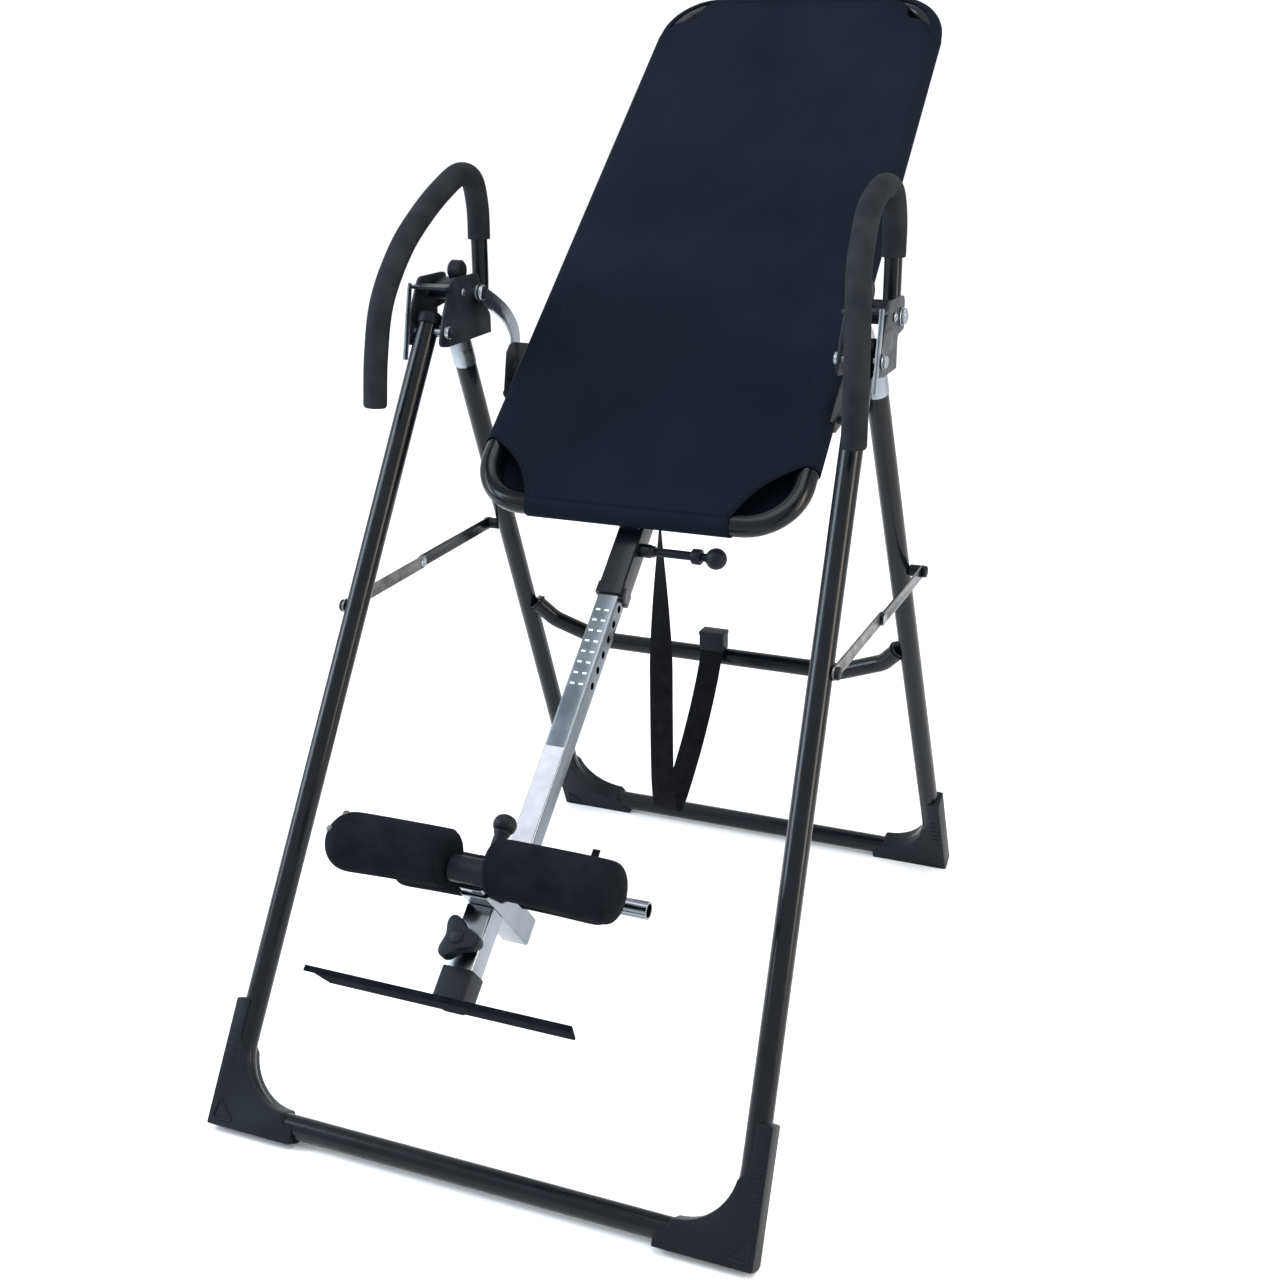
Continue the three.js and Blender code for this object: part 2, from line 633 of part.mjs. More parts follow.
/** The sliding front half of the ankle clamp. */
function ankleClamp() {
  const { z, back } = CLAMP;
  const hub = 17;
  const { y } = FRONT_PADS;
  const tubeFront = y + hub - 1;
  const slide = acrossY(square(32, 1.5), back - 3 - tubeFront, tubeFront).translate(0, 0, z);
  const pinHole = new THREE.CylinderGeometry(5, 5, 12, 8).rotateX(Math.PI / 2)
    .translate(0, -35, z + 16);
  const hubRound = acrossX(ring(hub + GAP), 60, -30, 6).translate(0, y, FRONT_PADS.z);
  add(bedPlane, 'clamp_tube', cut(slide, pinHole, hubRound), CHROME);
  add(bedPlane, 'clamp_hub', acrossX(ring(hub, REAR_AXLE.radius + GAP), 52, -26, 6)
    .translate(0, y, FRONT_PADS.z), BLACK_PLASTIC);
  add(bedPlane, 'front_axle', acrossX(ring(REAR_AXLE.radius, 8), 350, -175, 6)
    .translate(0, y, FRONT_PADS.z), CHROME);
  for (const [label, side] of SIDES) {
    add(bedPlane, `front_ankle_pad_${label}`, pad(side, 28, 207, REAR_AXLE.radius + GAP, [34, 40],
      y, FRONT_PADS.z), FOAM);
  }
}

/** The spring pin on the clamp sleeve, with its round knob. */
function clampPin() {
  const base = CLAMP.z + CLAMP.size / 2;
  const spin = (profile) => new THREE.LatheGeometry(
    profile.map(([radius, z]) => new THREE.Vector2(radius, z)), 12)
    .rotateX(Math.PI / 2).translate(0, -35, 0);
  add(bedPlane, 'clamp_pin_bush', spin([
    [4.6, base + GAP], [9, base + GAP], [9, base + 20], [4.6, base + 20], [4.6, base + GAP],
  ]), ZINC);
  add(bedPlane, 'clamp_pin', spin([
    [0, base - 1.2], [4, base - 1.2], [4, base + 24], [9, base + 25], [9, -505], [14, -502],
    [15.5, -496], [15.5, -486], [13, -480], [0, -479],
  ]), BLACK_PLASTIC);
}

mainShaft();
ankleSleeve();
rearPads();
footSleeve();
footPlate();
footKnob();
ankleClamp();
clampPin();

// ---- safety strap -------------------------------------------------------------------------
function strap() {
  const hangY = 52;
  const barY = 262;
  const corner = 193;
  const path = new BentPath([
    point(0, hangY, 752), point(0, hangY, corner), point(0, barY, 412),
  ], 30, 10);
  const width = 19;
  const half = 1.25;
  const section = new THREE.Shape([[-half, -width], [half, -width], [half, width], [-half, width]]
    .map(([x, y]) => new THREE.Vector2(x, y)));
  add(fixed, 'safety_strap', new THREE.ExtrudeGeometry(section, {
    steps: path.steps, extrudePath: path,
  }), WEBBING);
  const buckle = rounded([[-14, 0], [14, 0], [11, 34], [-11, 34]], 5);
  add(fixed, 'strap_buckle', acrossX(buckle, 42, -21, 3).translate(0, 285, 433), BLACK_PLASTIC);
}
strap();

const group = new THREE.Group();
group.add(front.group, rear.group, fixed, bed);
group.position.y = ORIGIN_SHIFT.y;
export default group;
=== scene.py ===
# %% [markdown]
# # An inversion table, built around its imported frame
# The table is a folding A-frame of bent steel tube with a fabric bed that tilts on two hinge arms.
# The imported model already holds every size, place and joint. This lesson gives each part its look:
# smooth tubes, a sewn fabric sleeve, foam grips, stuffed ankle pads, plated fittings and webbing.

import math

import bmesh
import bpy
import numpy as np
from mathutils import Matrix, Vector, geometry


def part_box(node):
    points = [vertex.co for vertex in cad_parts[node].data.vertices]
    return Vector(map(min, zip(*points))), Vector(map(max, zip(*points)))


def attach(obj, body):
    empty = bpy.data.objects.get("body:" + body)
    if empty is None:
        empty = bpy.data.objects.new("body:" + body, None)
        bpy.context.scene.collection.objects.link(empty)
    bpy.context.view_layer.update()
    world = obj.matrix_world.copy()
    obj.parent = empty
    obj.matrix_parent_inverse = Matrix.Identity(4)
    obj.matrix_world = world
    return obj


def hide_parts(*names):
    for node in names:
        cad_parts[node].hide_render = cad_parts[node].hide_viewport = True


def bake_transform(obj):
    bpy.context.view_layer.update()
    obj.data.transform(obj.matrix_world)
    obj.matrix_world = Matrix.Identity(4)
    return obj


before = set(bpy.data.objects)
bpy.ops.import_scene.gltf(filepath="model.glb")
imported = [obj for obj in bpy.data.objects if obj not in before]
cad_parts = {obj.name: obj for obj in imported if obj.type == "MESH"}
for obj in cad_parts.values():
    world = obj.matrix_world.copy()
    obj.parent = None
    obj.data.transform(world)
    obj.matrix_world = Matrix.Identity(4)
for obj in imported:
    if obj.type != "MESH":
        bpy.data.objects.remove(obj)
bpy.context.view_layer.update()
MM = 0.001

# %% [markdown]
# ## Camera and light
# The camera stands in front and to the right of the table, at chest height, and looks a little down.
# Soft light comes from large panels. A cool panel on the left and a weak warm one on the right give
# the black tubes their long bluish and brownish streaks.

# %% Camera
CAMERA_AT = Vector((0.915, -2.2166, 1.434))
CAMERA_YAW = math.radians(23.0)
CAMERA_PITCH = math.radians(20.48)
CAMERA_ROLL = math.radians(0.67)
SENSOR_WIDTH = 36.0
LENS = 47.32


def placed(name, data):
    """A new object in the scene that shows some data."""
    made = bpy.data.objects.new(name, data)
    bpy.context.scene.collection.objects.link(made)
    return made


def make_camera():
    data = bpy.data.cameras.new("camera")
    data.sensor_width = SENSOR_WIDTH
    data.lens = LENS
    camera = placed("camera", data)
    camera.location = CAMERA_AT
    turn = Matrix.Rotation(CAMERA_YAW, 4, "Z")
    tip = Matrix.Rotation(math.pi / 2 - CAMERA_PITCH, 4, "X")
    roll = Matrix.Rotation(-CAMERA_ROLL, 4, "Z")
    camera.rotation_euler = (turn @ tip @ roll).to_euler()
    bpy.context.scene.camera = camera


make_camera()
print("camera at", tuple(CAMERA_AT))

# %% Lights, sky and floor
def area_light(name, at, target, size, power, colour):
    data = bpy.data.lights.new(name, "AREA")
    data.shape = "RECTANGLE"
    data.size, data.size_y = size
    data.energy = power
    data.color = colour
    lamp = placed(name, data)
    lamp.location = at
    away = Vector(at) - Vector(target)
    lamp.rotation_euler = away.to_track_quat("Z", "Y").to_euler()


def make_sky(colour, strength):
    world = bpy.data.worlds.new("studio")
    world.use_nodes = True
    back = world.node_tree.nodes["Background"]
    back.inputs["Color"].default_value = (*colour, 1)
    back.inputs["Strength"].default_value = strength
    bpy.context.scene.world = world


make_sky((0.98, 0.99, 1.0), 1.1)
bpy.context.scene.view_settings.view_transform = "Standard"
area_light("cool_panel", (-3.2, -1.6, 2.4), (0, 0, 0.7), (1.6, 3.0), 190, (0.72, 0.86, 1.0))
area_light("warm_panel", (3.4, -0.4, 1.6), (0, 0, 0.7), (0.7, 2.6), 80, (1.0, 0.86, 0.72))
area_light("top_panel", (0.4, -0.6, 4.2), (0, 0, 0.6), (3.0, 3.0), 90, (1.0, 1.0, 1.0))
print("lights:", [lamp.name for lamp in bpy.data.lights])

# %% [markdown]
# ## Materials
# Every finish is a small node tree. All of them share one pattern: a Principled shader whose base
# colour drifts a little through noise, whose roughness is broken up by a second noise, and whose
# surface is roughened by a bump. The helpers below lay that pattern; each finish then adds its own
# weave, streaks or grain. Patterns read Object coordinates, so they stay put when a part moves.

# %% Material helpers
NOISE_ROUGHNESS = 0.55
NOISE_LOW, NOISE_HIGH = 0.3, 0.7


def node(tree, kind, **settings):
    made = tree.nodes.new(kind)
    for key, value in settings.items():
        setattr(made, key, value)
    return made


def noise(tree, scale, detail=4.0, stretch=None):
    place = node(tree, "ShaderNodeTexCoord")
    made = node(tree, "ShaderNodeTexNoise")
    made.inputs["Scale"].default_value = scale
    made.inputs["Detail"].default_value = detail
    made.inputs["Roughness"].default_value = NOISE_ROUGHNESS
    if stretch:
        mapping = node(tree, "ShaderNodeMapping")
        mapping.inputs["Scale"].default_value = stretch
        tree.links.new(place.outputs["Object"], mapping.inputs["Vector"])
        tree.links.new(mapping.outputs["Vector"], made.inputs["Vector"])
    else:
        tree.links.new(place.outputs["Object"], made.inputs["Vector"])
    return made.outputs["Fac"]


def ramp(tree, source, stops):
    """A smooth change between two colours, each given with its place along the source."""
    made = node(tree, "ShaderNodeValToRGB")
    for stop, (at, colour) in zip(made.color_ramp.elements, stops):
        stop.position = at
        stop.color = (*colour, 1)
    tree.links.new(source, made.inputs["Fac"])
    return made.outputs["Color"]


def spread(tree, source, low, high):
    """A noise's usual range stretched over the range from low to high."""
    made = node(tree, "ShaderNodeMapRange")
    made.inputs["From Min"].default_value = NOISE_LOW
    made.inputs["From Max"].default_value = NOISE_HIGH
    made.inputs["To Min"].default_value = low
    made.inputs["To Max"].default_value = high
    tree.links.new(source, made.inputs["Value"])
    return made.outputs["Result"]


def bump(tree, shader, source, strength, distance, under=None):
    """Roughens the shader's surface by a height, on top of the bump given as under."""
    made = node(tree, "ShaderNodeBump")
    made.inputs["Strength"].default_value = strength
    made.inputs["Distance"].default_value = distance
    tree.links.new(source, made.inputs["Height"])
    if under:
        tree.links.new(under, made.inputs["Normal"])
    tree.links.new(made.outputs["Normal"], shader.inputs["Normal"])
    return made.outputs["Normal"]


def finish(name, colours, rough, metallic=0.0, patch=14.0, fine=900.0, **sockets):
    """A base finish: two colours mixed in patches, and roughness that drifts between two values."""
    made = bpy.data.materials.new(name)
    made.use_nodes = True
    tree = made.node_tree
    shader = tree.nodes["Principled BSDF"]
    shader.inputs["Metallic"].default_value = metallic
    for key, value in sockets.items():
        shader.inputs[key.replace("_", " ")].default_value = value
    patches = noise(tree, patch)
    tree.links.new(ramp(tree, patches, [(0.35, colours[0]), (0.7, colours[1])]),
                   shader.inputs["Base Color"])
    tree.links.new(spread(tree, noise(tree, fine, 2.0), *rough), shader.inputs["Roughness"])
    return made, tree, shader


# %% Painted, moulded and plated finishes
def grained(name, colours, rough, grain, relief, stretch=None, **settings):
    """A finish with one bump: grain is its noise's scale and detail, relief its strength and depth."""
    made, tree, shader = finish(name, colours, rough, **settings)
    bump(tree, shader, noise(tree, *grain, stretch=stretch), *relief)
    return made


def bright_plate(name, colours, rough, patch):
    """Smooth bright plating with faint streaks along local X."""
    return grained(name, colours, rough, (60.0, 3.0), (0.05, 0.0004), stretch=(8, 1, 1),
                   metallic=1.0, patch=patch, fine=35.0)


PAINT = grained("gloss_black_paint", [(0.0015, 0.0025, 0.004), (0.003, 0.0045, 0.007)], (0.2, 0.3),
                (420.0, 3.0), (0.06, 0.0002), fine=60.0, Specular_IOR_Level=0.17,
                Coat_Weight=0.07, Coat_Roughness=0.1)
PLASTIC = grained("black_plastic", [(0.003, 0.0045, 0.007), (0.006, 0.008, 0.012)], (0.4, 0.55),
                  (1500.0, 2.0), (0.25, 0.0003), fine=300.0, Specular_IOR_Level=0.13)
CHROME = bright_plate("chrome_plate", [(0.15, 0.17, 0.19), (0.25, 0.27, 0.30)], (0.1, 0.22), 9.0)
SHAFT = bright_plate("shaft_plate", [(0.10, 0.12, 0.14), (0.16, 0.185, 0.21)], (0.16, 0.28), 7.0)
DARK = grained("dark_plate", [(0.010, 0.012, 0.016), (0.030, 0.035, 0.042)], (0.3, 0.45),
               (500.0, 3.0), (0.1, 0.0003), metallic=0.25, patch=18.0, fine=90.0,
               Specular_IOR_Level=0.1)
RUBBER = grained("textured_black", [(0.003, 0.004, 0.006), (0.006, 0.008, 0.011)], (0.75, 0.9),
                 (1800.0, 2.0), (0.5, 0.0005), patch=40.0, fine=500.0, Specular_IOR_Level=0.02)
ZINC = grained("zinc_plate", [(0.20, 0.23, 0.27), (0.31, 0.34, 0.37)], (0.24, 0.38),
               (700.0, 3.0), (0.12, 0.0003), metallic=1.0, patch=26.0, fine=90.0)
STEEL = grained("worn_steel", [(0.07, 0.07, 0.07), (0.19, 0.19, 0.185)], (0.3, 0.5),
                (500.0, 3.0), (0.2, 0.0003), metallic=0.9, patch=40.0, fine=200.0)
print("hard finishes:", len(bpy.data.materials))

# %% Soft finishes
def weave(tree, pitch):
    """Threads along X and Z that cross, as a height: a thread every pitch metres."""
    heights = []
    for direction in ("X", "Z"):
        place = node(tree, "ShaderNodeTexCoord")
        wave = node(tree, "ShaderNodeTexWave", wave_type="BANDS", bands_direction=direction,
                    wave_profile="SIN")
        wave.inputs["Scale"].default_value = 0.05 / pitch * 2 * math.pi
        wave.inputs["Distortion"].default_value = 0.6
        wave.inputs["Detail"].default_value = 1.0
        tree.links.new(place.outputs["Object"], wave.inputs["Vector"])
        heights.append(wave.outputs["Fac"])
    both = node(tree, "ShaderNodeMath", operation="ADD")
    tree.links.new(heights[0], both.inputs[0])
    tree.links.new(heights[1], both.inputs[1])
    return both.outputs["Value"]


def bed_fabric():
    made, tree, shader = finish("bed_fabric", [(0.0040, 0.0060, 0.0105), (0.0060, 0.0085, 0.0140)],
                                (0.75, 0.9), patch=5.0, fine=1200.0, Specular_IOR_Level=0.03)
    first = bump(tree, shader, weave(tree, 0.0016), 0.35, 0.0003)
    bump(tree, shader, noise(tree, 24.0, 4.0), 0.25, 0.002, under=first)
    return made


def pad_fabric():
    made, tree, shader = finish("pad_fabric", [(0.004, 0.005, 0.007), (0.008, 0.009, 0.012)],
                                (0.8, 0.95), patch=30.0, fine=1500.0, Specular_IOR_Level=0.03)
    first = bump(tree, shader, noise(tree, 2600.0, 2.0), 0.5, 0.0005)
    bump(tree, shader, noise(tree, 70.0, 4.0), 0.35, 0.0025, under=first)
    return made


def grip_foam():
    made, tree, shader = finish("grip_foam", [(0.010, 0.012, 0.015), (0.019, 0.021, 0.024)],
                                (0.75, 0.92), patch=26.0, fine=900.0, Specular_IOR_Level=0.06)
    cells = node(tree, "ShaderNodeTexVoronoi", feature="F1")
    cells.inputs["Scale"].default_value = 1100.0
    place = node(tree, "ShaderNodeTexCoord")
    tree.links.new(place.outputs["Object"], cells.inputs["Vector"])
    bump(tree, shader, cells.outputs["Distance"], 0.5, 0.0006)
    return made


def webbing():
    made, tree, shader = finish("webbing", [(0.0035, 0.0035, 0.0045), (0.007, 0.007, 0.009)],
                                (0.7, 0.9), patch=60.0, fine=1500.0, Specular_IOR_Level=0.04)
    bump(tree, shader, weave(tree, 0.0022), 0.7, 0.0006)
    return made


THREAD = grained("stitch_thread", [(0.009, 0.011, 0.015), (0.014, 0.017, 0.022)], (0.6, 0.8),
                 (3000.0, 2.0), (0.4, 0.0002), patch=400.0, fine=2000.0, Specular_IOR_Level=0.05)
STICKER = grained("pale_sticker", [(0.34, 0.34, 0.39), (0.41, 0.41, 0.46)], (0.3, 0.45),
                  (200.0, 2.0), (0.08, 0.0002), patch=60.0, fine=200.0)
PALE_INK = grained("tick_ink", [(0.50, 0.54, 0.58), (0.62, 0.66, 0.70)], (0.4, 0.6),
                   (900.0, 2.0), (0.1, 0.0001), patch=120.0, fine=500.0)
BED_CLOTH = bed_fabric()
PAD_CLOTH = pad_fabric()
FOAM = grip_foam()
WEB = webbing()
print("materials:", len(bpy.data.materials))

# %% Floor
FLOOR_REACH = 30.0


def make_floor(reach):
    mesh = bpy.data.meshes.new("studio_floor")
    mesh.from_pydata([(-reach, -reach, 0), (reach, -reach, 0), (reach, reach, 0), (-reach, reach, 0)],
                     [], [(0, 1, 2, 3)])
    mesh.materials.append(grained("floor_paint", [(0.92, 0.92, 0.92), (0.94, 0.94, 0.94)], (0.8, 0.9),
                                  (2.0, 2.0), (0.02, 0.001), patch=0.7, fine=3.0))
    placed("studio_floor", mesh)


make_floor(FLOOR_REACH)
print("floor", 2 * FLOOR_REACH, "m across")

# %% [markdown]
# ## Where things are
# Three parts of the table are flat in their own plane: the front leg frame, the rear leg frame and
# the bed. It is easiest to draw a piece in its plane, in millimetres, and to lay it into the room
# with that plane's matrix. In each plane X runs across and Z runs up the legs or up the bed. On the
# bed, Y comes out of its back. Bolts on the side plates are placed by their Y and Z in the room.

# %% The three planes
ORIGIN_SHIFT_Y = -30.6
AXLE_HEIGHT = 22.0
LEG_APEX = 1068.0
TUBE = 16.0
FRONT = {"foot_y": -615.0, "half_base": 375.0, "half_top": 325.0, "top_z": 1016.0}
REAR = {"foot_y": 479.0, "half_base": 351.0, "half_top": 318.0, "top_z": 1008.0}
CORNER_BEND = 92.0
PIVOT_AT = (50.0, 1045.0)
FOLD_AT = (-40.0, 1000.0)
HOOK_AT = (14.0, 1050.0)
STRUT_Z = 640.0
BED_TILT = math.radians(40.2)
BED = {"length": 1070.0, "half_foot": 260.0, "half_head": 243.0, "bend": 75.0}
BED_FOOT_FROM_PIVOT = (0, 138, -288)
SIDES = (("left", -1), ("right", 1))
TO_METRES = Matrix.Diagonal((MM, MM, MM, 1))
ROOM = TO_METRES @ Matrix.Translation((0, ORIGIN_SHIFT_Y, 0))


def leg_plane(spec, sign):
    """The leaning plane of a leg frame; its length and the cosine of its lean join its sizes."""
    tilt = math.atan(abs(spec["foot_y"]) / (LEG_APEX - AXLE_HEIGHT))
    spec["cos"] = math.cos(tilt)
    spec["apex"] = (LEG_APEX - AXLE_HEIGHT) / spec["cos"]
    foot = Matrix.Translation((0, spec["foot_y"], AXLE_HEIGHT))
    return ROOM @ foot @ Matrix.Rotation(sign * tilt, 4, "X")


FRONT_PLANE = leg_plane(FRONT, -1)
REAR_PLANE = leg_plane(REAR, 1)
BED_SWING = (ROOM @ Matrix.Translation((0, *PIVOT_AT))
             @ Matrix.Rotation(BED_TILT - math.pi / 2, 4, "X"))
BED_PLANE = BED_SWING @ Matrix.Translation(BED_FOOT_FROM_PIVOT)
print("bed foot edge at", [round(v, 3) for v in BED_PLANE.translation])

# %% Mesh helpers
def to_piece(name, mesh, material, body, replaces=(), sharp=35):
    """A finished piece at the origin, shaded smooth with crisp edges, riding on its body."""
    piece = placed(name, mesh)
    mesh.materials.clear()
    mesh.materials.append(material)
    mesh.shade_smooth()
    mesh.set_sharp_from_angle(angle=math.radians(sharp))
    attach(piece, body)
    if replaces:
        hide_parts(*replaces)
    return piece


def mesh_of(name, work):
    """Ends the work on a bmesh and gives back its mesh."""
    mesh = bpy.data.meshes.new(name)
    work.to_mesh(mesh)
    work.free()
    return mesh


def mesh_from(name, vertices, faces, place):
    """A mesh with its doubles merged and its faces pointing outwards."""
    mesh = bpy.data.meshes.new("drawn")
    mesh.from_pydata([tuple(v) for v in vertices], [], faces)
    work = bmesh.new()
    work.from_mesh(mesh)
    bmesh.ops.remove_doubles(work, verts=work.verts, dist=1e-4)
    bmesh.ops.recalc_face_normals(work, faces=work.faces)
    work.transform(place)
    return mesh_of(name, work)


def joined(name, meshes):
    work = bmesh.new()
    for mesh in meshes:
        work.from_mesh(mesh)
    return mesh_of(name, work)


def evaluated(carrier):
    """The plain mesh that an object's modifiers make."""
    seen = carrier.evaluated_get(bpy.context.evaluated_depsgraph_get())
    return bpy.data.meshes.new_from_object(seen)


def ring_face(row, count):
    """The face that closes one ring of points."""
    return tuple(row * count + k for k in range(count))


def skin(rows, count, wrap=False):
    """Quads between rings of points that follow each other; wrap joins the last to the first."""
    faces = []
    for i in range(rows if wrap else rows - 1):
        j = (i + 1) % rows
        for k in range(count):
            n = (k + 1) % count
            faces.append((i * count + k, i * count + n, j * count + n, j * count + k))
    return faces


def round_angles(count):
    return [2 * math.pi * k / count for k in range(count)]


def lathe(name, profile, place, segments=40):
    """A turned solid about local Z; the profile lists (radius, height) and closes on the axis."""
    turn = round_angles(segments)
    vertices = [(radius * math.cos(a), radius * math.sin(a), height)
                for radius, height in profile for a in turn]
    faces = skin(len(profile), segments)
    for row in (0, len(profile) - 1):
        if profile[row][0] > 0:
            faces.append(ring_face(row, segments))
    return mesh_from(name, vertices, faces, place)


def eased(profile, reach=0.8):
    """A stepped profile with each outer corner eased by a small chamfer."""
    out = [profile[0]]
    for before, here, after in zip(profile, profile[1:], profile[2:]):
        a, b, c = Vector(before), Vector(here), Vector(after)
        first, second = (a - b), (c - b)
        cut = min(reach, first.length * 0.4, second.length * 0.4)
        if first.length < 1e-6 or second.length < 1e-6 or first.angle(second) > math.radians(150):
            out.append(tuple(b))
            continue
        out.append(tuple(b + first.normalized() * cut))
        out.append(tuple(b + second.normalized() * cut))
    out.append(profile[-1])
    return out


def round_edges(work, sharper, width):
    """Rounds every edge of a bmesh whose faces meet at more than an angle."""
    rim = [e for e in work.edges if len(e.link_faces) == 2 and e.calc_face_angle(0) > sharper]
    bmesh.ops.bevel(work, geom=rim, offset=width, segments=2, affect="EDGES", profile=0.6,
                    clamp_overlap=True)


def slab(name, outline, depth, place, bevel=0.8):
    """A plate: an outline in X-Y, thickened along Z, with rounded edges."""
    work = bmesh.new()
    work.faces.new([work.verts.new((x, y, 0)) for x, y in outline])
    bmesh.ops.dissolve_limit(work, angle_limit=0.01, verts=work.verts, edges=work.edges)
    lifted = bmesh.ops.extrude_face_region(work, geom=list(work.faces), use_keep_orig=True)
    top = [v for v in lifted["geom"] if isinstance(v, bmesh.types.BMVert)]
    bmesh.ops.translate(work, verts=top, vec=(0, 0, depth))
    bmesh.ops.recalc_face_normals(work, faces=work.faces)
    if bevel:
        round_edges(work, 0.7, bevel)
    work.transform(place)
    return mesh_of(name, work)


def block(name, size, at, place, bevel=0.8):
    """A box with rounded edges, given by its size and its middle."""
    x, y, z = (v / 2 for v in size)
    outline = [(-x, -y), (x, -y), (x, y), (-x, y)]
    base = place @ Matrix.Translation((at[0], at[1], at[2] - z))
    return slab(name, outline, size[2], base, bevel)


def bent(corners, bend, steps=14, closed=False):
    """Points along straight runs joined by round bends."""
    points = []
    count = len(corners)
    for i, corner in enumerate(corners):
        here = Vector(corner)
        if not closed and i in (0, count - 1):
            points.append(here)
            continue
        before = (here - Vector(corners[i - 1])).normalized()
        after = (Vector(corners[(i + 1) % count]) - here).normalized()
        turn = before.angle(after)
        centre = here + (after - before).normalized() * bend / math.cos(turn / 2)
        arm = here - before * bend * math.tan(turn / 2) - centre
        axis = before.cross(after).normalized()
        points += [centre + Matrix.Rotation(turn * k / steps, 3, axis) @ arm
                   for k in range(steps + 1)]
    return points


def refined(node_name, width):
    """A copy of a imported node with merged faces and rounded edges."""
    work = bmesh.new()
    work.from_mesh(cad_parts[node_name].data)
    bmesh.ops.remove_doubles(work, verts=work.verts, dist=1e-5)
    bmesh.ops.dissolve_limit(work, angle_limit=math.radians(2), verts=work.verts, edges=work.edges)
    round_edges(work, 0.5, width * MM)
    return mesh_of(node_name + "_refined", work)


def refine(node_name, material, body, width):
    return to_piece(node_name + "_piece", refined(node_name, width), material, body, [node_name])


# %% [markdown]
# ## A tree that draws tube along a path
# Nearly everything here is bent tube. One Geometry Nodes tree takes a chain of points, turns it into
# a curve and sweeps a circle along it. The radius and the number of sides are named inputs, so the
# same tree draws leg tube, rails, foam sleeves and wire. The result is turned into a plain mesh.

# %% The tube tree
def new_tree(name, **inputs):
    """A Geometry Nodes tree with a mesh going in and out, and its other named inputs."""
    tree = bpy.data.node_groups.new(name, "GeometryNodeTree")
    face = tree.interface
    face.new_socket("Geometry", in_out="INPUT", socket_type="NodeSocketGeometry")
    for label, kind in inputs.items():
        face.new_socket(label, in_out="INPUT", socket_type="NodeSocket" + kind)
    face.new_socket("Material", in_out="INPUT", socket_type="NodeSocketMaterial")
    face.new_socket("Geometry", in_out="OUTPUT", socket_type="NodeSocketGeometry")
    return tree, tree.nodes.new("NodeGroupInput").outputs, tree.links.new


def hand_out(tree, given, made):
    """Makes instances real, gives them the material and hands them to the tree's output."""
    real = tree.nodes.new("GeometryNodeRealizeInstances")
    paint = tree.nodes.new("GeometryNodeSetMaterial")
    result = tree.nodes.new("NodeGroupOutput")
    tree.links.new(made, real.inputs["Geometry"])
    tree.links.new(real.outputs["Geometry"], paint.inputs["Geometry"])
    tree.links.new(given["Material"], paint.inputs["Material"])
    tree.links.new(paint.outputs["Geometry"], result.inputs["Geometry"])


def tube_tree():
    tree, given, link = new_tree("tube_along_path", Radius="Float", Sides="Int")
    path = tree.nodes.new("GeometryNodeMeshToCurve")
    circle = tree.nodes.new("GeometryNodeCurvePrimitiveCircle")
    sweep = tree.nodes.new("GeometryNodeCurveToMesh")
    sweep.inputs["Fill Caps"].default_value = True
    link(given["Geometry"], path.inputs["Mesh"])
    link(given["Sides"], circle.inputs["Resolution"])
    link(given["Radius"], circle.inputs["Radius"])
    link(path.outputs["Curve"], sweep.inputs["Curve"])
    link(circle.outputs["Curve"], sweep.inputs["Profile Curve"])
    hand_out(tree, given, sweep.outputs["Mesh"])
    return tree


def settle(carrier, tree, inputs):
    """Runs a tree on a carrier object and gives back the plain mesh it makes."""
    maker = carrier.modifiers.new("maker", "NODES")
    maker.node_group = tree
    for item in tree.interface.items_tree:
        if item.item_type == "SOCKET" and item.in_out == "INPUT" and item.name in inputs:
            maker[item.identifier] = inputs[item.name]
    carrier.update_tag()
    mesh = evaluated(carrier)
    bpy.data.objects.remove(carrier)
    return mesh


def carrier_of(points, closed=False):
    """An object that holds a chain of points, for a tree to work on."""
    mesh = bpy.data.meshes.new("path")
    last = len(points) - 1
    edges = [(i, i + 1) for i in range(last)] + ([(last, 0)] if closed else [])
    mesh.from_pydata([tuple(p) for p in points], edges, [])
    return placed("path", mesh)


TUBE_TREE = tube_tree()


def tube(points, radius, material, place, closed=False, sides=32):
    """A tube mesh along points given in millimetres in the plane of place."""
    carrier = carrier_of([place @ Vector(p) for p in points], closed)
    return settle(carrier, TUBE_TREE, {"Radius": radius * MM, "Sides": sides, "Material": material})


print("tree:", TUBE_TREE.name)

# %% [markdown]
# ## Leg frames
# Each leg frame is one tube bent twice: up a leg, along the floor and up the other leg. The rear
# frame carries a dropped crossbar with a weld bead at each end.

# %% Leg frame tubes
def half_at(spec, along):
    """Half the distance between the middles of the legs, at a length up the leg."""
    return spec["half_base"] - (spec["half_base"] - spec["half_top"]) * along / spec["apex"]


def up_leg(spec, z):
    """The length up the leg at which the tube is z above the floor."""
    return (z - AXLE_HEIGHT) / spec["cos"]


def leg_loop(spec):
    top = up_leg(spec, spec["top_z"])
    half = half_at(spec, top)
    base = spec["half_base"]
    return bent([(-half, 0, top), (-base, 0, 0), (base, 0, 0), (half, 0, top)], CORNER_BEND)


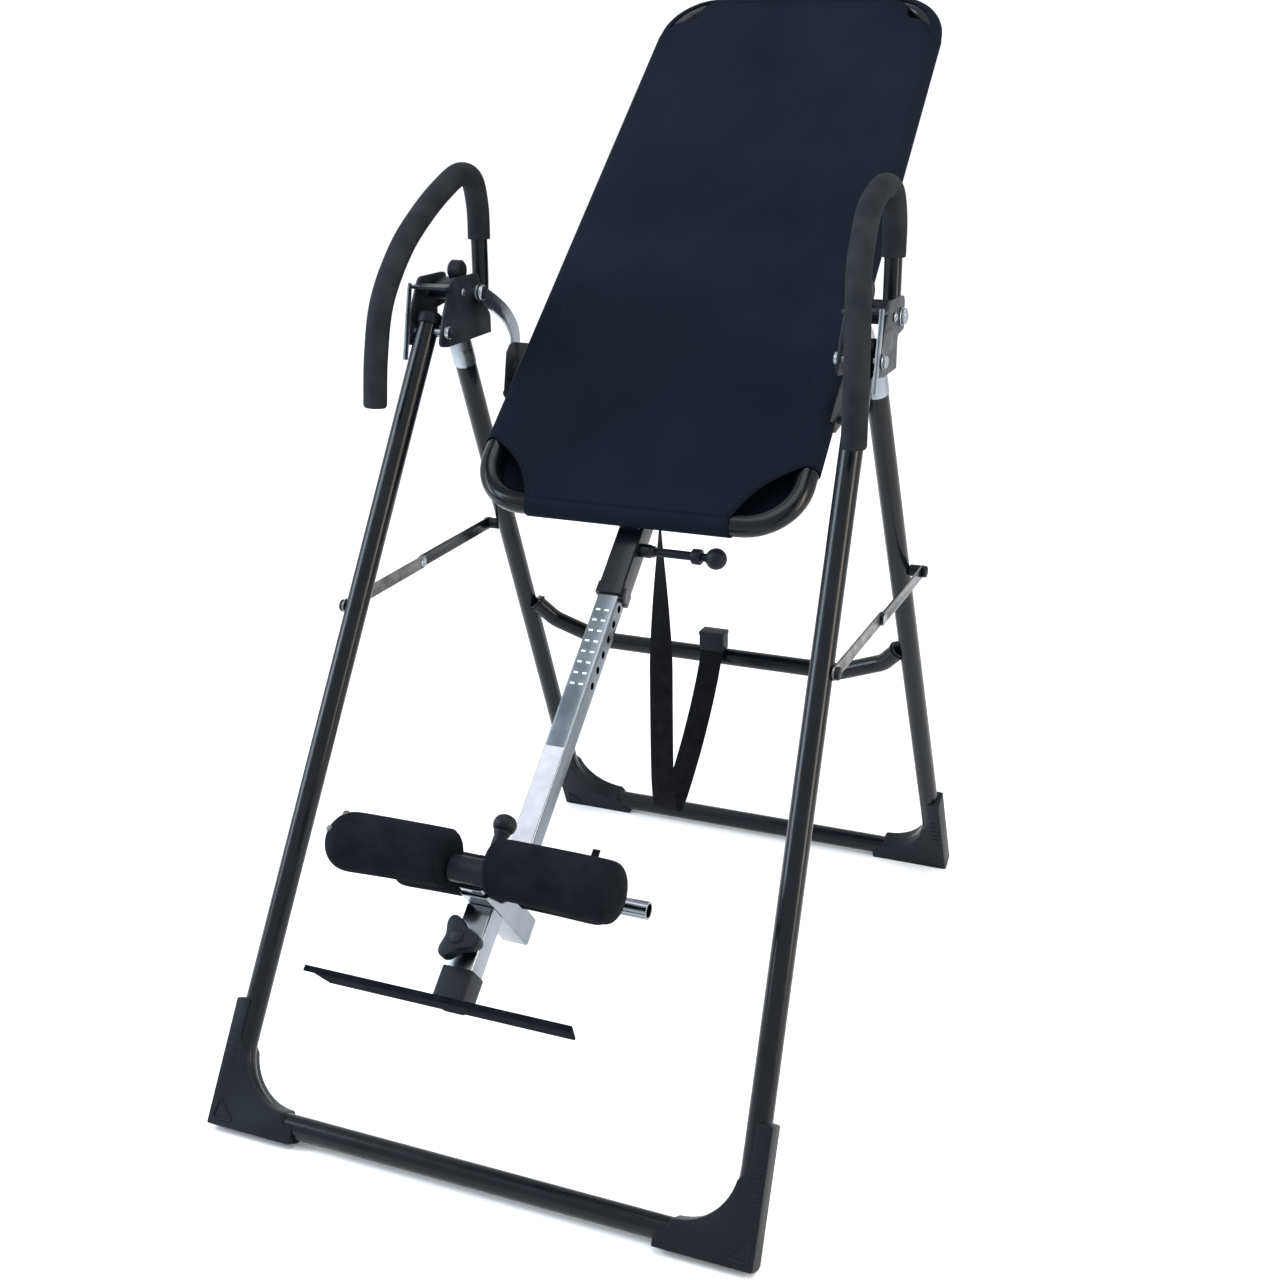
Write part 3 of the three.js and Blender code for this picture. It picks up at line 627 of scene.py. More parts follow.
def weld_bead(centre, axis, radius, thick, place, lumps=26):
    """A rippled ring of weld round a tube end."""
    ring = []
    side = Vector(axis).orthogonal().normalized()
    other = Vector(axis).normalized().cross(side)
    for a in round_angles(lumps * 4):
        ripple = 1 + 0.03 * math.cos(lumps * a)
        ring.append(Vector(centre) + (side * math.cos(a) + other * math.sin(a)) * radius * ripple)
    return tube(ring, thick, PAINT, place, closed=True, sides=8)


def make_leg_frames():
    for label, spec, place in (("front_frame", FRONT, FRONT_PLANE), ("rear_frame", REAR, REAR_PLANE)):
        loop = tube(leg_loop(spec), TUBE, PAINT, place)
        to_piece(f"{label}_loop", loop, PAINT, label, [f"{label}_tube"])


CROSSBAR = {"weld_z": 484.0, "low_z": 418.0, "flat": 212.0, "radius": 14.0, "bend": 44.0}
KNEE_IN, KNEE_DOWN = 30.0, 36.0


def make_crossbar():
    high, low = up_leg(REAR, CROSSBAR["weld_z"]), up_leg(REAR, CROSSBAR["low_z"])
    reach = half_at(REAR, high) - TUBE + 1
    half = [(CROSSBAR["flat"], 0, low), (reach - KNEE_IN, 0, high - KNEE_DOWN), (reach, 0, high)]
    path = bent([(-x, y, z) for x, y, z in reversed(half)] + half, CROSSBAR["bend"], 10)
    parts = [tube(path, CROSSBAR["radius"], PAINT, REAR_PLANE)]
    rise = KNEE_DOWN / KNEE_IN
    for side in (-1, 1):
        at = (side * (reach - 4), 0, high - 4 * rise)
        parts.append(weld_bead(at, (side, 0, rise), 14.5, 1.8, REAR_PLANE))
    to_piece("rear_crossbar_tube", joined("rear_crossbar_tube", parts), PAINT, "rear_frame",
             ["rear_crossbar"])


make_leg_frames()
make_crossbar()
print("leg frames done")

# %% [markdown]
# ## Corner feet
# A moulded plastic shoe wraps each bend of the floor tube. Its inside follows the bend, its outside
# stays square. The shoe is drawn as an outline in the leg plane, thickened and cut off flat at the
# floor. Five grip ribs and a raised triangle are laid on each of its faces.

# %% Corner feet
FOOT = {"outer": 22.0, "up": 152.0, "inward": 112.0, "thick": 36.0, "hug": 17.5}


def arc(centre, radius, start, end, steps):
    return [(centre[0] + radius * math.cos(math.radians(start + (end - start) * k / steps)),
             centre[1] + radius * math.sin(math.radians(start + (end - start) * k / steps)))
            for k in range(steps + 1)]


def foot_outline(spec):
    outer, up, hug = FOOT["outer"], FOOT["up"], FOOT["hug"]
    edge = spec["half_base"] + outer
    lean = spec["half_base"] - half_at(spec, up)
    centre = (spec["half_base"] - CORNER_BEND, CORNER_BEND)
    foot_end = edge - FOOT["inward"] - outer
    return [(edge - 1, -outer), (edge - lean, up), (half_at(spec, up), up + 2),
            (half_at(spec, 100), 100), *arc(centre, CORNER_BEND - hug, -9, -90, 14),
            (centre[0] - 6, 2), (foot_end, 2), (foot_end, -outer)]


def cut_at_floor(shell):
    """Cuts a shell off at the floor and closes it there."""
    work = bmesh.new()
    work.from_mesh(shell)
    floor_cut = bmesh.ops.bisect_plane(work, geom=[*work.verts, *work.edges, *work.faces],
                                       plane_co=(0, 0, 0), plane_no=(0, 0, -1), clear_outer=True)
    rim = [e for e in floor_cut["geom_cut"] if isinstance(e, bmesh.types.BMEdge)]
    bmesh.ops.triangle_fill(work, edges=rim, use_beauty=True)
    bmesh.ops.recalc_face_normals(work, faces=work.faces)
    return mesh_of("shell", work)


def foot_marks(spec, place, y):
    """The ribs and the triangle on one face of a shoe."""
    marks = []
    for k in range(5):
        z = 62 + k * 11
        x = half_at(spec, z)
        rib = [Vector((x + 3, y, z)), Vector((x + 18, y, z + 1))]
        marks.append(tube(rib, 1.2, PLASTIC, place, sides=8))
    base = spec["half_base"]
    corner = bent([(base + 13, y, -12), (base + 8, y, 16), (base - 20, y, -12)], 2.5, 4, closed=True)
    marks.append(tube(corner, 1.6, PLASTIC, place, closed=True, sides=8))
    return marks


def make_foot(end, label, spec, leg_place, side):
    place = leg_place @ Matrix.Diagonal((side, 1, 1, 1))
    thick = FOOT["thick"]
    laid = Matrix.Rotation(math.pi / 2, 4, "X") @ Matrix.Translation((0, 0, -thick / 2))
    shell = slab("shell", foot_outline(spec), thick, place @ laid, bevel=3.2)
    parts = [cut_at_floor(shell)]
    for y in (-thick / 2, thick / 2):
        parts += foot_marks(spec, place, y)
    name = f"{end}_shoe_{label}"
    to_piece(name, joined(name, parts), PLASTIC, f"{end}_frame", [f"{end}_foot_{label}"])


for label, side in SIDES:
    make_foot("front", label, FRONT, FRONT_PLANE, side)
    make_foot("rear", label, REAR, REAR_PLANE, side)
print("feet done")

# %% [markdown]
# ## Hand rails
# A rail is one steel tube that loops over the hinge. A foam sleeve is pushed over most of it: thick,
# soft and dark grey, with a rounded cut end. Only the lower back end of the rail shows bare steel.
# Both follow the same smooth curve, so each is the tube tree on its own stretch of that curve.

# %% Hand rail curve
RAIL = [(322, 66, 987), (322, 88, 988), (322, 112, 1003), (322, 119, 1040), (322, 121, 1110),
        (322, 120, 1165), (321, 104, 1202), (320, 68, 1213), (319, 10, 1197), (325, -45, 1165),
        (333, -92, 1124), (345, -132, 1055), (350, -149, 980), (352, -157, 908)]
RAIL_RADIUS = 12.5
FOAM_RADIUS = 17.0
FOAM_STARTS = 5 / 22


def smooth_curve(points, steps=10):
    """A centripetal curve through all points."""
    points = [Vector(p) for p in points]
    ends = [points[0] * 2 - points[1], *points, points[-1] * 2 - points[-2]]
    out = []
    for a, b, c, d in zip(ends, ends[1:], ends[2:], ends[3:]):
        knots = [0.0]
        for p, q in ((a, b), (b, c), (c, d)):
            knots.append(knots[-1] + (q - p).length ** 0.5)
        t0, t1, t2, t3 = knots
        for k in range(steps):
            t = t1 + (t2 - t1) * k / steps
            a1 = a.lerp(b, (t - t0) / (t1 - t0))
            a2 = b.lerp(c, (t - t1) / (t2 - t1))
            a3 = c.lerp(d, (t - t2) / (t3 - t2))
            b1 = a1.lerp(a2, (t - t0) / (t2 - t0))
            b2 = a2.lerp(a3, (t - t1) / (t3 - t1))
            out.append(b1.lerp(b2, (t - t1) / (t2 - t1)))
    out.append(points[-1])
    return out


def aim(axis, at):
    """A matrix that stands local Z along axis at a point, in millimetres."""
    return Matrix.Translation(at) @ Vector(axis).to_track_quat("Z", "Y").to_matrix().to_4x4()


def rounded_end(at, direction, radius, place, length):
    """A soft domed end for a sleeve."""
    profile = [(radius, 0)]
    for share in range(1, 7):
        a = math.pi / 2 * share / 6
        profile.append((radius - length * 0.6 * (1 - math.cos(a)), length * math.sin(a)))
    profile.append((0, length))
    return lathe("end", profile, place @ aim(direction, at), 32)


def make_rail(label, side):
    curve = smooth_curve([(side * x, y, z) for x, y, z in RAIL])
    lengths = [0.0]
    for a, b in zip(curve, curve[1:]):
        lengths.append(lengths[-1] + (b - a).length)
    foam_from = next(i for i, run in enumerate(lengths) if run > FOAM_STARTS * lengths[-1])
    bare = tube(curve[:foam_from + 4], RAIL_RADIUS, PAINT, ROOM)
    to_piece(f"hand_rail_{label}", bare, PAINT, "rear_frame", [f"handle_{label}"])
    soft = curve[foam_from:-1]
    parts = [tube(soft, FOAM_RADIUS, FOAM, ROOM, sides=36),
             rounded_end(soft[-1], soft[-1] - soft[-2], FOAM_RADIUS, ROOM, 6.0),
             rounded_end(soft[0], soft[0] - soft[1], FOAM_RADIUS, ROOM, 2.5)]
    to_piece(f"foam_grip_{label}", joined(f"foam_grip_{label}", parts), FOAM, "rear_frame",
             [f"handle_grip_{label}"])


for label, side in SIDES:
    make_rail(label, side)
print("rails done")

# %% [markdown]
# ## Hinges
# Each hinge is a pair of plated side plates that carry the legs, the pivot of the bed and the fold
# bolt of the front leg. A black hook drops over the pivot to lock the bed. The plates are copies of the
# packed bracket with their edges rounded, drawn in a little behind and below. The bolts are turned
# again with many more sides, and get hexagon heads. Bright sleeves close the tops of the back legs.

# %% Bolts and plates
def hexagon(name, across, height, place):
    """A bolt head: six flats with a low turned dome on top."""
    reach = across / math.sqrt(3)
    outline = [(reach * math.cos(a), reach * math.sin(a)) for a in round_angles(6)]
    body = slab(name, outline, height, place, bevel=0.7)
    cap = lathe(name, [(across * 0.44, height), (across * 0.40, height + 1), (0, height + 1)], place, 32)
    return joined(name, [body, cap])


def across_x(side, x, y, z):
    """A frame for a turned piece whose axis runs outwards across the table."""
    return ROOM @ aim((side, 0, 0), (side * x, y, z))


def make_bolt(name, node_name, label, side, at, shank, head, span):
    """A bolt with a dome head inside, and a washer and a hexagon head outside. The span gives, from
    the middle of the table outwards, the dome, both ends of the bare shank, and the head's top."""
    dome, inner, outer, top = span
    inner, washer = inner - dome, outer - dome
    profile = [(0, 0), (head * 0.9, 0.6), (head, inner), (shank, inner), (shank, washer),
               (head * 1.05, washer), (head * 1.05, washer + 1.5), (0, washer + 1.5)]
    body = lathe(name, eased(profile), across_x(side, dome, *at))
    cap = hexagon(name, head * 1.7, top - outer - 2.5, across_x(side, outer + 1.5, *at))
    to_piece(f"{name}_{label}", joined(name, [body, cap]), ZINC, "rear_frame",
             [f"{node_name}_{label}"])


PLATE_BOTTOM = 978.0
OUTER_PLATE_FROM = 335.0
SHOULDER_Z = 1026.0
REACH_ABOVE, REACH_BELOW = 66.0, 34.0


def trimmed_bracket(label):
    """The bracket with its bottom and the back of its outer plate drawn in, so the rail shows."""
    mesh = refined(f"hinge_bracket_{label}", 0.9)
    for vertex in mesh.vertices:
        vertex.co.z = max(vertex.co.z, PLATE_BOTTOM * MM)
        if abs(vertex.co.x) > OUTER_PLATE_FROM * MM:
            reach = REACH_ABOVE if vertex.co.z > SHOULDER_Z * MM else REACH_BELOW
            vertex.co.y = min(vertex.co.y, (reach + ORIGIN_SHIFT_Y) * MM)
    return mesh


def leg_socket(side):
    """A short plated sleeve round the top of the back leg."""
    top = up_leg(REAR, REAR["top_z"])
    path = [(side * half_at(REAR, at), 0, at) for at in (top - 78, top - 40, top - 2)]
    return tube(path, TUBE + 1.2, ZINC, REAR_PLANE)


def edge_strip(side):
    """The bright cut edge of the outer plate, where it turns in towards the front leg."""
    outline = [(-70, 962), (-62, 960), (-47, 1020), (-38, 1068), (-46, 1070), (-58, 1022)]
    place = ROOM @ Matrix(((0, 0, 1, side * 352), (1, 0, 0, 0), (0, 1, 0, 0), (0, 0, 0, 1)))
    return slab("edge", outline, 5, place @ Matrix.Translation((0, 0, -2.5)), 1.2)


def hook_grip(side):
    """The round black grip on top of the lock hook."""
    profile = eased([(0, 0), (15, 0), (15, 20), (0, 20)], 3.0)
    return lathe("grip", profile, across_x(side, 300, 26, 1080), 40)


def leg_cap(side):
    """The black domed cap on the front leg's end."""
    top = up_leg(FRONT, FRONT["top_z"])
    place = FRONT_PLANE @ aim((0, 0, 1), (side * half_at(FRONT, top), 0, top - 9))
    dome = [(TUBE + 2.6, 0), (TUBE + 3, 1), (TUBE + 3, 12)]
    dome += [((TUBE + 3) * math.cos(math.radians(a)), 12 + 9 * math.sin(math.radians(a)))
             for a in range(15, 90, 15)]
    return lathe("cap", [*dome, (0, 21)], place, 40)


def make_hinge(label, side):
    to_piece(f"hinge_plates_{label}", trimmed_bracket(label), DARK, "rear_frame",
             [f"hinge_bracket_{label}"])
    bright = joined("bright", [leg_socket(side), edge_strip(side)])
    to_piece(f"hinge_bright_{label}", bright, ZINC, "rear_frame")
    to_piece(f"front_leg_cap_{label}", leg_cap(side), PLASTIC, "front_frame")
    make_bolt("bed_pivot", "pivot_bolt", label, side, PIVOT_AT, 7, 12, (278, 283.5, 355, 362))
    make_bolt("fold_pivot", "fold_bolt", label, side, FOLD_AT, 6, 10, (289, 295.1, 355, 361))
    make_bolt("hook_pivot", "hook_pin", label, side, HOOK_AT, 4, 6, (292.5, 295.1, 355, 358))
    refine(f"lock_hook_{label}", PLASTIC, f"lock_hook_{label}", 3.0)
    to_piece(f"hook_grip_{label}", hook_grip(side), PLASTIC, f"lock_hook_{label}")


for label, side in SIDES:
    make_hinge(label, side)
print("hinges done")

# %% Folding struts
def make_strut(label, side):
    refine(f"strut_front_link_{label}", STEEL, f"strut_front_{label}", 0.7)
    refine(f"strut_rear_link_{label}", PAINT, f"strut_rear_{label}", 0.7)
    rivet = eased([(0, 0), (5, 0), (8, 1.5), (8, 2), (5, 2), (5, 9), (8, 9), (8, 10), (6, 11.3),
                   (0, 11.3)])
    to_piece(f"strut_rivet_{label}", lathe("rivet", rivet, across_x(side, 360, -30, STRUT_Z)), ZINC,
             f"strut_rear_{label}", [f"strut_mid_rivet_{label}"])
    knob = eased([(0, 0), (5, 0), (5, 3.4), (9, 3.4), (9, 8), (7, 9), (0, 9)], 1.2)
    to_piece(f"strut_front_knob_{label}", lathe("knob", knob, across_x(side, 362, -251.6, STRUT_Z)),
             PLASTIC, f"strut_front_{label}", [f"strut_front_bolt_{label}"])
    inner, outer = sorted(abs(corner.x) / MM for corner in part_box(f"strut_rear_bolt_{label}"))
    reach = outer - inner
    spacer = eased([(0, 0), (9, 0), (9, reach - 9.6), (5, reach - 9.6), (5, reach - 6), (9, reach - 6),
                    (9, reach - 1), (7, reach), (0, reach)], 1.0)
    to_piece(f"strut_rear_knob_{label}", lathe("spacer", spacer, across_x(side, inner, 196, STRUT_Z)),
             PLASTIC, "rear_frame", [f"strut_rear_bolt_{label}"])


for label, side in SIDES:
    make_strut(label, side)
print("struts done")

# %% [markdown]
# ## Bed frame and its arms
# The bed is a closed loop of the same tube as the legs. A curved plated arm hangs from each hinge and
# bolts to a short black wedge on the side tube. A row of small black bolts holds that wedge.

# %% Bed loop, arms and brackets
def bed_loop():
    foot, head = BED["half_foot"] - TUBE, BED["half_head"] - TUBE
    top = BED["length"] - TUBE
    return bent([(-foot, 0, TUBE), (foot, 0, TUBE), (head, 0, top), (-head, 0, top)], BED["bend"],
                closed=True)


def bed_half(z):
    """Half the distance between the middles of the two side tubes."""
    share = (z - TUBE) / (BED["length"] - 2 * TUBE)
    return BED["half_foot"] - TUBE + (BED["half_head"] - BED["half_foot"]) * share


ARM_X = 286.0
ARM_THICK = 5.0
ARM_HALF_WIDTH = 12.5
ARM_LINE = [(0, 0, 0), (50, 22, 0), (98, 36, 0), (134, 34, 0), (156, 14, 0)]
ARM_BAR = {"low": 196.0, "high": 300.0, "out": 285.5}


def swing_arm(side):
    """A curved flat arm from the pivot to the bar on the bed's side, in the pivot's plane."""
    middle = smooth_curve(ARM_LINE, 6)
    ahead = [b - a for a, b in zip(middle, middle[1:])]
    ahead.append(ahead[-1])
    normals = [Vector((-run.y, run.x, 0)).normalized() for run in ahead]
    upper = [(p + n * ARM_HALF_WIDTH).to_2d() for p, n in zip(middle, normals)]
    lower = [(p - n * ARM_HALF_WIDTH).to_2d() for p, n in zip(middle, normals)]
    start = arc((0, 0), ARM_HALF_WIDTH, 124, 264, 10)
    turn = Matrix(((0, 0, 1, 0), (1, 0, 0, 0), (0, 1, 0, 0), (0, 0, 0, 1)))
    off = side * (ARM_X + ARM_THICK / 2) - ARM_THICK / 2
    place = BED_SWING @ Matrix.Translation((off, 0, 0)) @ turn
    return slab("swing_arm", [*reversed(upper), *start, *lower], ARM_THICK, place)


def arm_bar(side):
    """The black bar that carries the arm, bolted along the side tube."""
    low, high, out = ARM_BAR["low"], ARM_BAR["high"], ARM_BAR["out"]
    inner = bed_half(250) + TUBE - 3
    outline = [(inner, low), (inner + 7, low), (out, high - 22), (out, high - 5), (out - 5, high),
               (inner, high)]
    stand = Matrix.Diagonal((side, 1, 1, 1)) @ Matrix.Rotation(math.pi / 2, 4, "X")
    bar = slab("bar", outline, 26, BED_PLANE @ stand @ Matrix.Translation((0, 0, -14)), 2.0)
    if side < 0:
        bar.flip_normals()
    return bar


def make_bed_frame():
    loop = tube(bed_loop(), TUBE, PAINT, BED_PLANE, closed=True)
    to_piece("bed_loop", loop, PAINT, "bed", ["bed_frame_tube"])
    for label, side in SIDES:
        to_piece(f"swing_arm_{label}", swing_arm(side), ZINC, "bed", [f"hinge_arm_{label}"])
        to_piece(f"arm_bar_{label}", arm_bar(side), PAINT, "bed", [f"arm_bracket_{label}"])


def row_tree():
    """Copies of a mesh in a row: a line of points with one copy on each."""
    tree, given, link = new_tree("row_of_copies", Count="Int", Pitch="Vector")
    line = tree.nodes.new("GeometryNodeMeshLine")
    place = tree.nodes.new("GeometryNodeInstanceOnPoints")
    link(given["Count"], line.inputs["Count"])
    link(given["Pitch"], line.inputs["Offset"])
    link(line.outputs["Mesh"], place.inputs["Points"])
    link(given["Geometry"], place.inputs["Instance"])
    hand_out(tree, given, place.outputs["Instances"])
    return tree


ROW_TREE = row_tree()


def row_of(mesh, count, step, material, place):
    """Copies of a mesh, given in metres, a step in millimetres apart in the plane of place."""
    pitch = place.to_3x3() @ Vector(step)
    return settle(placed("row", mesh), ROW_TREE, {"Count": count, "Pitch": pitch, "Material": material})


def make_bed_bolts():
    z = ARM_BAR["low"] + 14
    outer = bed_half(z) + TUBE + 5
    for label, side in SIDES:
        seat = BED_PLANE @ aim((side, 0, 0), (side * outer, 0, z))
        heads = row_of(hexagon("head", 11, 5, seat), 3, (side * 4, 0, 30), PLASTIC, BED_PLANE)
        to_piece(f"bracket_bolts_{label}", heads, PLASTIC, "bed")
        arm = BED_SWING @ aim((side, 0, 0), (side * (ARM_X + ARM_THICK), 128, 36))
        heads = row_of(hexagon("head", 13, 4, arm), 2, (0, 20, -18), ZINC, BED_SWING)
        to_piece(f"arm_bolts_{label}", heads, ZINC, "bed")


make_bed_frame()
make_bed_bolts()
print("bed frame done")

# %% [markdown]
# ## The sewn sleeve
# The bed's fabric is one sleeve pulled over the tube loop. Its front lies on the tubes, turns round
# their outside and closes again behind them. The sleeve stops short of the corners, where the bare
# bends show. It is not padded, so it is drawn as a sheet: a front and a back panel with curved
# cut-outs, and a strip rolled round each side tube and each end tube. Both panels sag a little between
# the tubes and pull tight towards their corners.

# %% Sleeve outline
SKIN = TUBE + 1.4
CUTS = {"foot_side": 114.0, "foot_x": 157.0, "head_side": 976.0, "head_x": 150.0}
HEAD_Z = BED["length"] - TUBE
HEAD_BEND = Vector((BED["half_head"] - TUBE - BED["bend"], HEAD_Z - BED["bend"]))
PANEL_PITCH = 13.0
SAG = 7.5
FOLD_DEPTH = 1.1
CLOTH_THICK = 0.9


def bowed(start, end, bow, steps=14):
    """Points from start to end on a shallow arc that bows to the left of the way."""
    a, b = Vector(start), Vector(end)
    normal = Vector((a.y - b.y, b.x - a.x)).normalized()
    return [a.lerp(b, k / steps) + normal * bow * math.sin(math.pi * k / steps)
            for k in range(steps + 1)]


def even(start, end, pitch=9.0):
    """Points from start to end at about a pitch, both ends with them."""
    a, b = Vector(start), Vector(end)
    count = max(2, round((b - a).length / pitch))
    return [a.lerp(b, k / count) for k in range(count + 1)]


def head_reach(angle):
    """The panel's edge follows the head bend, but leaves a small slit half way round."""
    return BED["bend"] - 25.0 * max(0.0, math.sin(math.radians(2 * angle))) ** 3


def heading(angle):
    return Vector((math.cos(math.radians(angle)), math.sin(math.radians(angle))))


def mirrored(points):
    return [Vector((-p.x, p.y)) for p in reversed(points)]


def panel_border(back):
    """A panel's edge, counter-clockwise, in X and Z. The back one fills the two foot corners."""
    low, high = CUTS["foot_side"], CUTS["head_side"]
    fx, bend = CUTS["foot_x"], BED["bend"]
    right_foot = bowed((fx, TUBE), (bed_half(low), low), 13)
    if back:
        middle = (BED["half_foot"] - TUBE - bend, TUBE + bend)
        right_foot = [Vector((fx, TUBE)), *map(Vector, arc(middle, bend, -88, -2, 12)),
                      Vector((bed_half(low), low))]
    right_head = [HEAD_BEND + heading(a) * head_reach(a) for a in range(0, 91, 6)]
    runs = [even((-fx, TUBE), (fx, TUBE)), right_foot,
            even((bed_half(low), low), (bed_half(high), high)), right_head,
            even((HEAD_BEND.x, HEAD_Z), (-HEAD_BEND.x, HEAD_Z)), mirrored(right_head),
            even((-bed_half(high), high), (-bed_half(low), low)), mirrored(right_foot)]
    return [p for run in runs for p in run[:-1]]


def sag(x, z):
    """How far the panel hangs behind the tubes: deepest in the middle, with faint pull folds."""
    across = 1 - min(1.0, abs(x) / bed_half(z)) ** 2.4
    along = math.sin(math.pi * min(1.0, max(0.0, (z - TUBE) / (HEAD_Z - TUBE)))) ** 0.6
    folds = 0.0
    for corner_x, corner_z in ((1, 60), (-1, 60), (1, 1010), (-1, 1010)):
        dx, dz = x - corner_x * 205, z - corner_z
        reach = math.hypot(dx, dz)
        folds += math.sin(5 * math.atan2(dz, dx)) * math.exp(-reach / 130) * min(1.0, reach / 60)
    return SAG * across * along + FOLD_DEPTH * folds * across


def panel(back):
    """Points and triangles of one panel: its edge, and an even grid inside it."""
    border = panel_border(back)
    inside = []
    half = int(BED["half_foot"] / PANEL_PITCH)
    for j in range(int(BED["length"] / PANEL_PITCH)):
        z = TUBE + 8 + j * PANEL_PITCH
        for i in range(-half, half + 1):
            spot = Vector((i * PANEL_PITCH, z))
            if min((spot - edge).length for edge in border) > 8:
                inside.append(spot)
    made = geometry.delaunay_2d_cdt([*border, *inside], [], [list(range(len(border)))], 1, 1e-3)
    return made[0], made[2]


def roll_profile(steps=12):
    """Half way round a tube, from its front over its outside to its back."""
    return [(SKIN * math.sin(math.pi * k / steps), -SKIN * math.cos(math.pi * k / steps))
            for k in range(steps + 1)]


def sleeve_mesh():
    vertices, faces = [], []
    for back, front_y, hang in ((False, -SKIN, 1.0), (True, SKIN, -0.8)):
        flat, patches = panel(back)
        start = len(vertices)
        vertices += [(p.x, front_y + hang * sag(p.x, p.y), p.y) for p in flat]
        faces += [tuple(start + i for i in patch) for patch in patches]
    reach = CUTS["foot_x"]
    foot = [(p, Vector((0, -1))) for p in even((-reach, TUBE), (reach, TUBE))]
    return vertices, faces + strip(vertices, foot) + strip(vertices, head_path())


def head_path():
    """Points up one side, round the head and down the other side, each with its way outwards."""
    low, high = CUTS["foot_side"], CUTS["head_side"]
    right = [(p, Vector((1, 0))) for p in even((bed_half(low), low), (bed_half(high), high))]
    right += [(HEAD_BEND + heading(a) * BED["bend"], heading(a)) for a in range(4, 87, 6)]
    right += [(p, Vector((0, 1))) for p in even((CUTS["head_x"], HEAD_Z), (0, HEAD_Z))]
    left = [(Vector((-p.x, p.y)), Vector((-out.x, out.y))) for p, out in reversed(right[:-1])]
    return right + left


def strip(vertices, spine):
    """Rolls a strip round a tube and adds its points; gives back its faces."""
    profile = roll_profile()
    start = len(vertices)
    for spot, out in spine:
        for away, y in profile:
            vertices.append((spot.x + out.x * away, y, spot.y + out.y * away))
    across = len(profile)
    return [(start + i * across + j, start + (i + 1) * across + j,
             start + (i + 1) * across + j + 1, start + i * across + j + 1)
            for i in range(len(spine) - 1) for j in range(across - 1)]


def facing_out(mesh):
    """Turns the faces so that the front panel's look to the front; gives the mesh and its area."""
    work = bmesh.new()
    work.from_mesh(mesh)
    front = BED_PLANE @ Vector((0, -SKIN, BED["length"] / 2))
    out = BED_PLANE.to_3x3() @ Vector((0, -1, 0))
    middle = min(work.faces, key=lambda face: (face.calc_center_median() - front).length)
    if middle.normal.dot(out) < 0:
        bmesh.ops.reverse_faces(work, faces=work.faces)
    area = sum(face.calc_area() for face in work.faces)
    return mesh_of("bed_sleeve", work), area


def make_sleeve():
    mesh, area = facing_out(mesh_from("sleeve", *sleeve_mesh(), BED_PLANE))
    sleeve = to_piece("bed_sleeve", mesh, BED_CLOTH, "bed", ["bed_cover"], sharp=80)
    wall = sleeve.modifiers.new("cloth_thickness", "SOLIDIFY")
    wall.thickness = CLOTH_THICK * MM
    wall.offset = 1.0


make_sleeve()

# %% [markdown]
# ## Stitches
# Sewn edges need thread. A tree resamples a path, lays one short rounded bar on each point and turns
# it along the path, which gives an even row of stitches for the sleeve.

# %% The stitch tree
def stitch_tree():
    tree, given, link = new_tree("row_of_stitches", Pitch="Float", Length="Float", Thread="Float")
    path = tree.nodes.new("GeometryNodeMeshToCurve")
    even_path = tree.nodes.new("GeometryNodeResampleCurve")
    even_path.mode = "LENGTH"
    bar = tree.nodes.new("GeometryNodeMeshCylinder")
    bar.inputs["Vertices"].default_value = 6
    tangent = tree.nodes.new("GeometryNodeInputTangent")
    turn = tree.nodes.new("FunctionNodeAlignRotationToVector")
    turn.axis = "Z"
    place = tree.nodes.new("GeometryNodeInstanceOnPoints")
    link(given["Geometry"], path.inputs["Mesh"])
    link(path.outputs["Curve"], even_path.inputs["Curve"])
    link(given["Pitch"], even_path.inputs["Length"])
    link(given["Thread"], bar.inputs["Radius"])
    link(given["Length"], bar.inputs["Depth"])
    link(tangent.outputs["Tangent"], turn.inputs["Vector"])
    link(even_path.outputs["Curve"], place.inputs["Points"])
    link(bar.outputs["Mesh"], place.inputs["Instance"])
    link(turn.outputs["Rotation"], place.inputs["Rotation"])
    hand_out(tree, given, place.outputs["Instances"])
    return tree


STITCH_TREE = stitch_tree()


def stitches(points, pitch=4.5, length=3.0, thread=0.45):
    """A row of stitches along points given in millimetres in the bed's plane."""
    carrier = carrier_of([BED_PLANE @ Vector(p) for p in points])
    return settle(carrier, STITCH_TREE, {"Pitch": pitch * MM, "Length": length * MM,
                                         "Thread": thread * MM, "Material": THREAD})


# %% Stitches and hems on the sleeve
def sewn(line, pitch=5.5, length=3.6):
    """Stitches along a line of points in X and Z, just proud of the front panel."""
    return stitches([(p.x, -SKIN + sag(p.x, p.y) - CLOTH_THICK, p.y) for p in line], pitch, length)


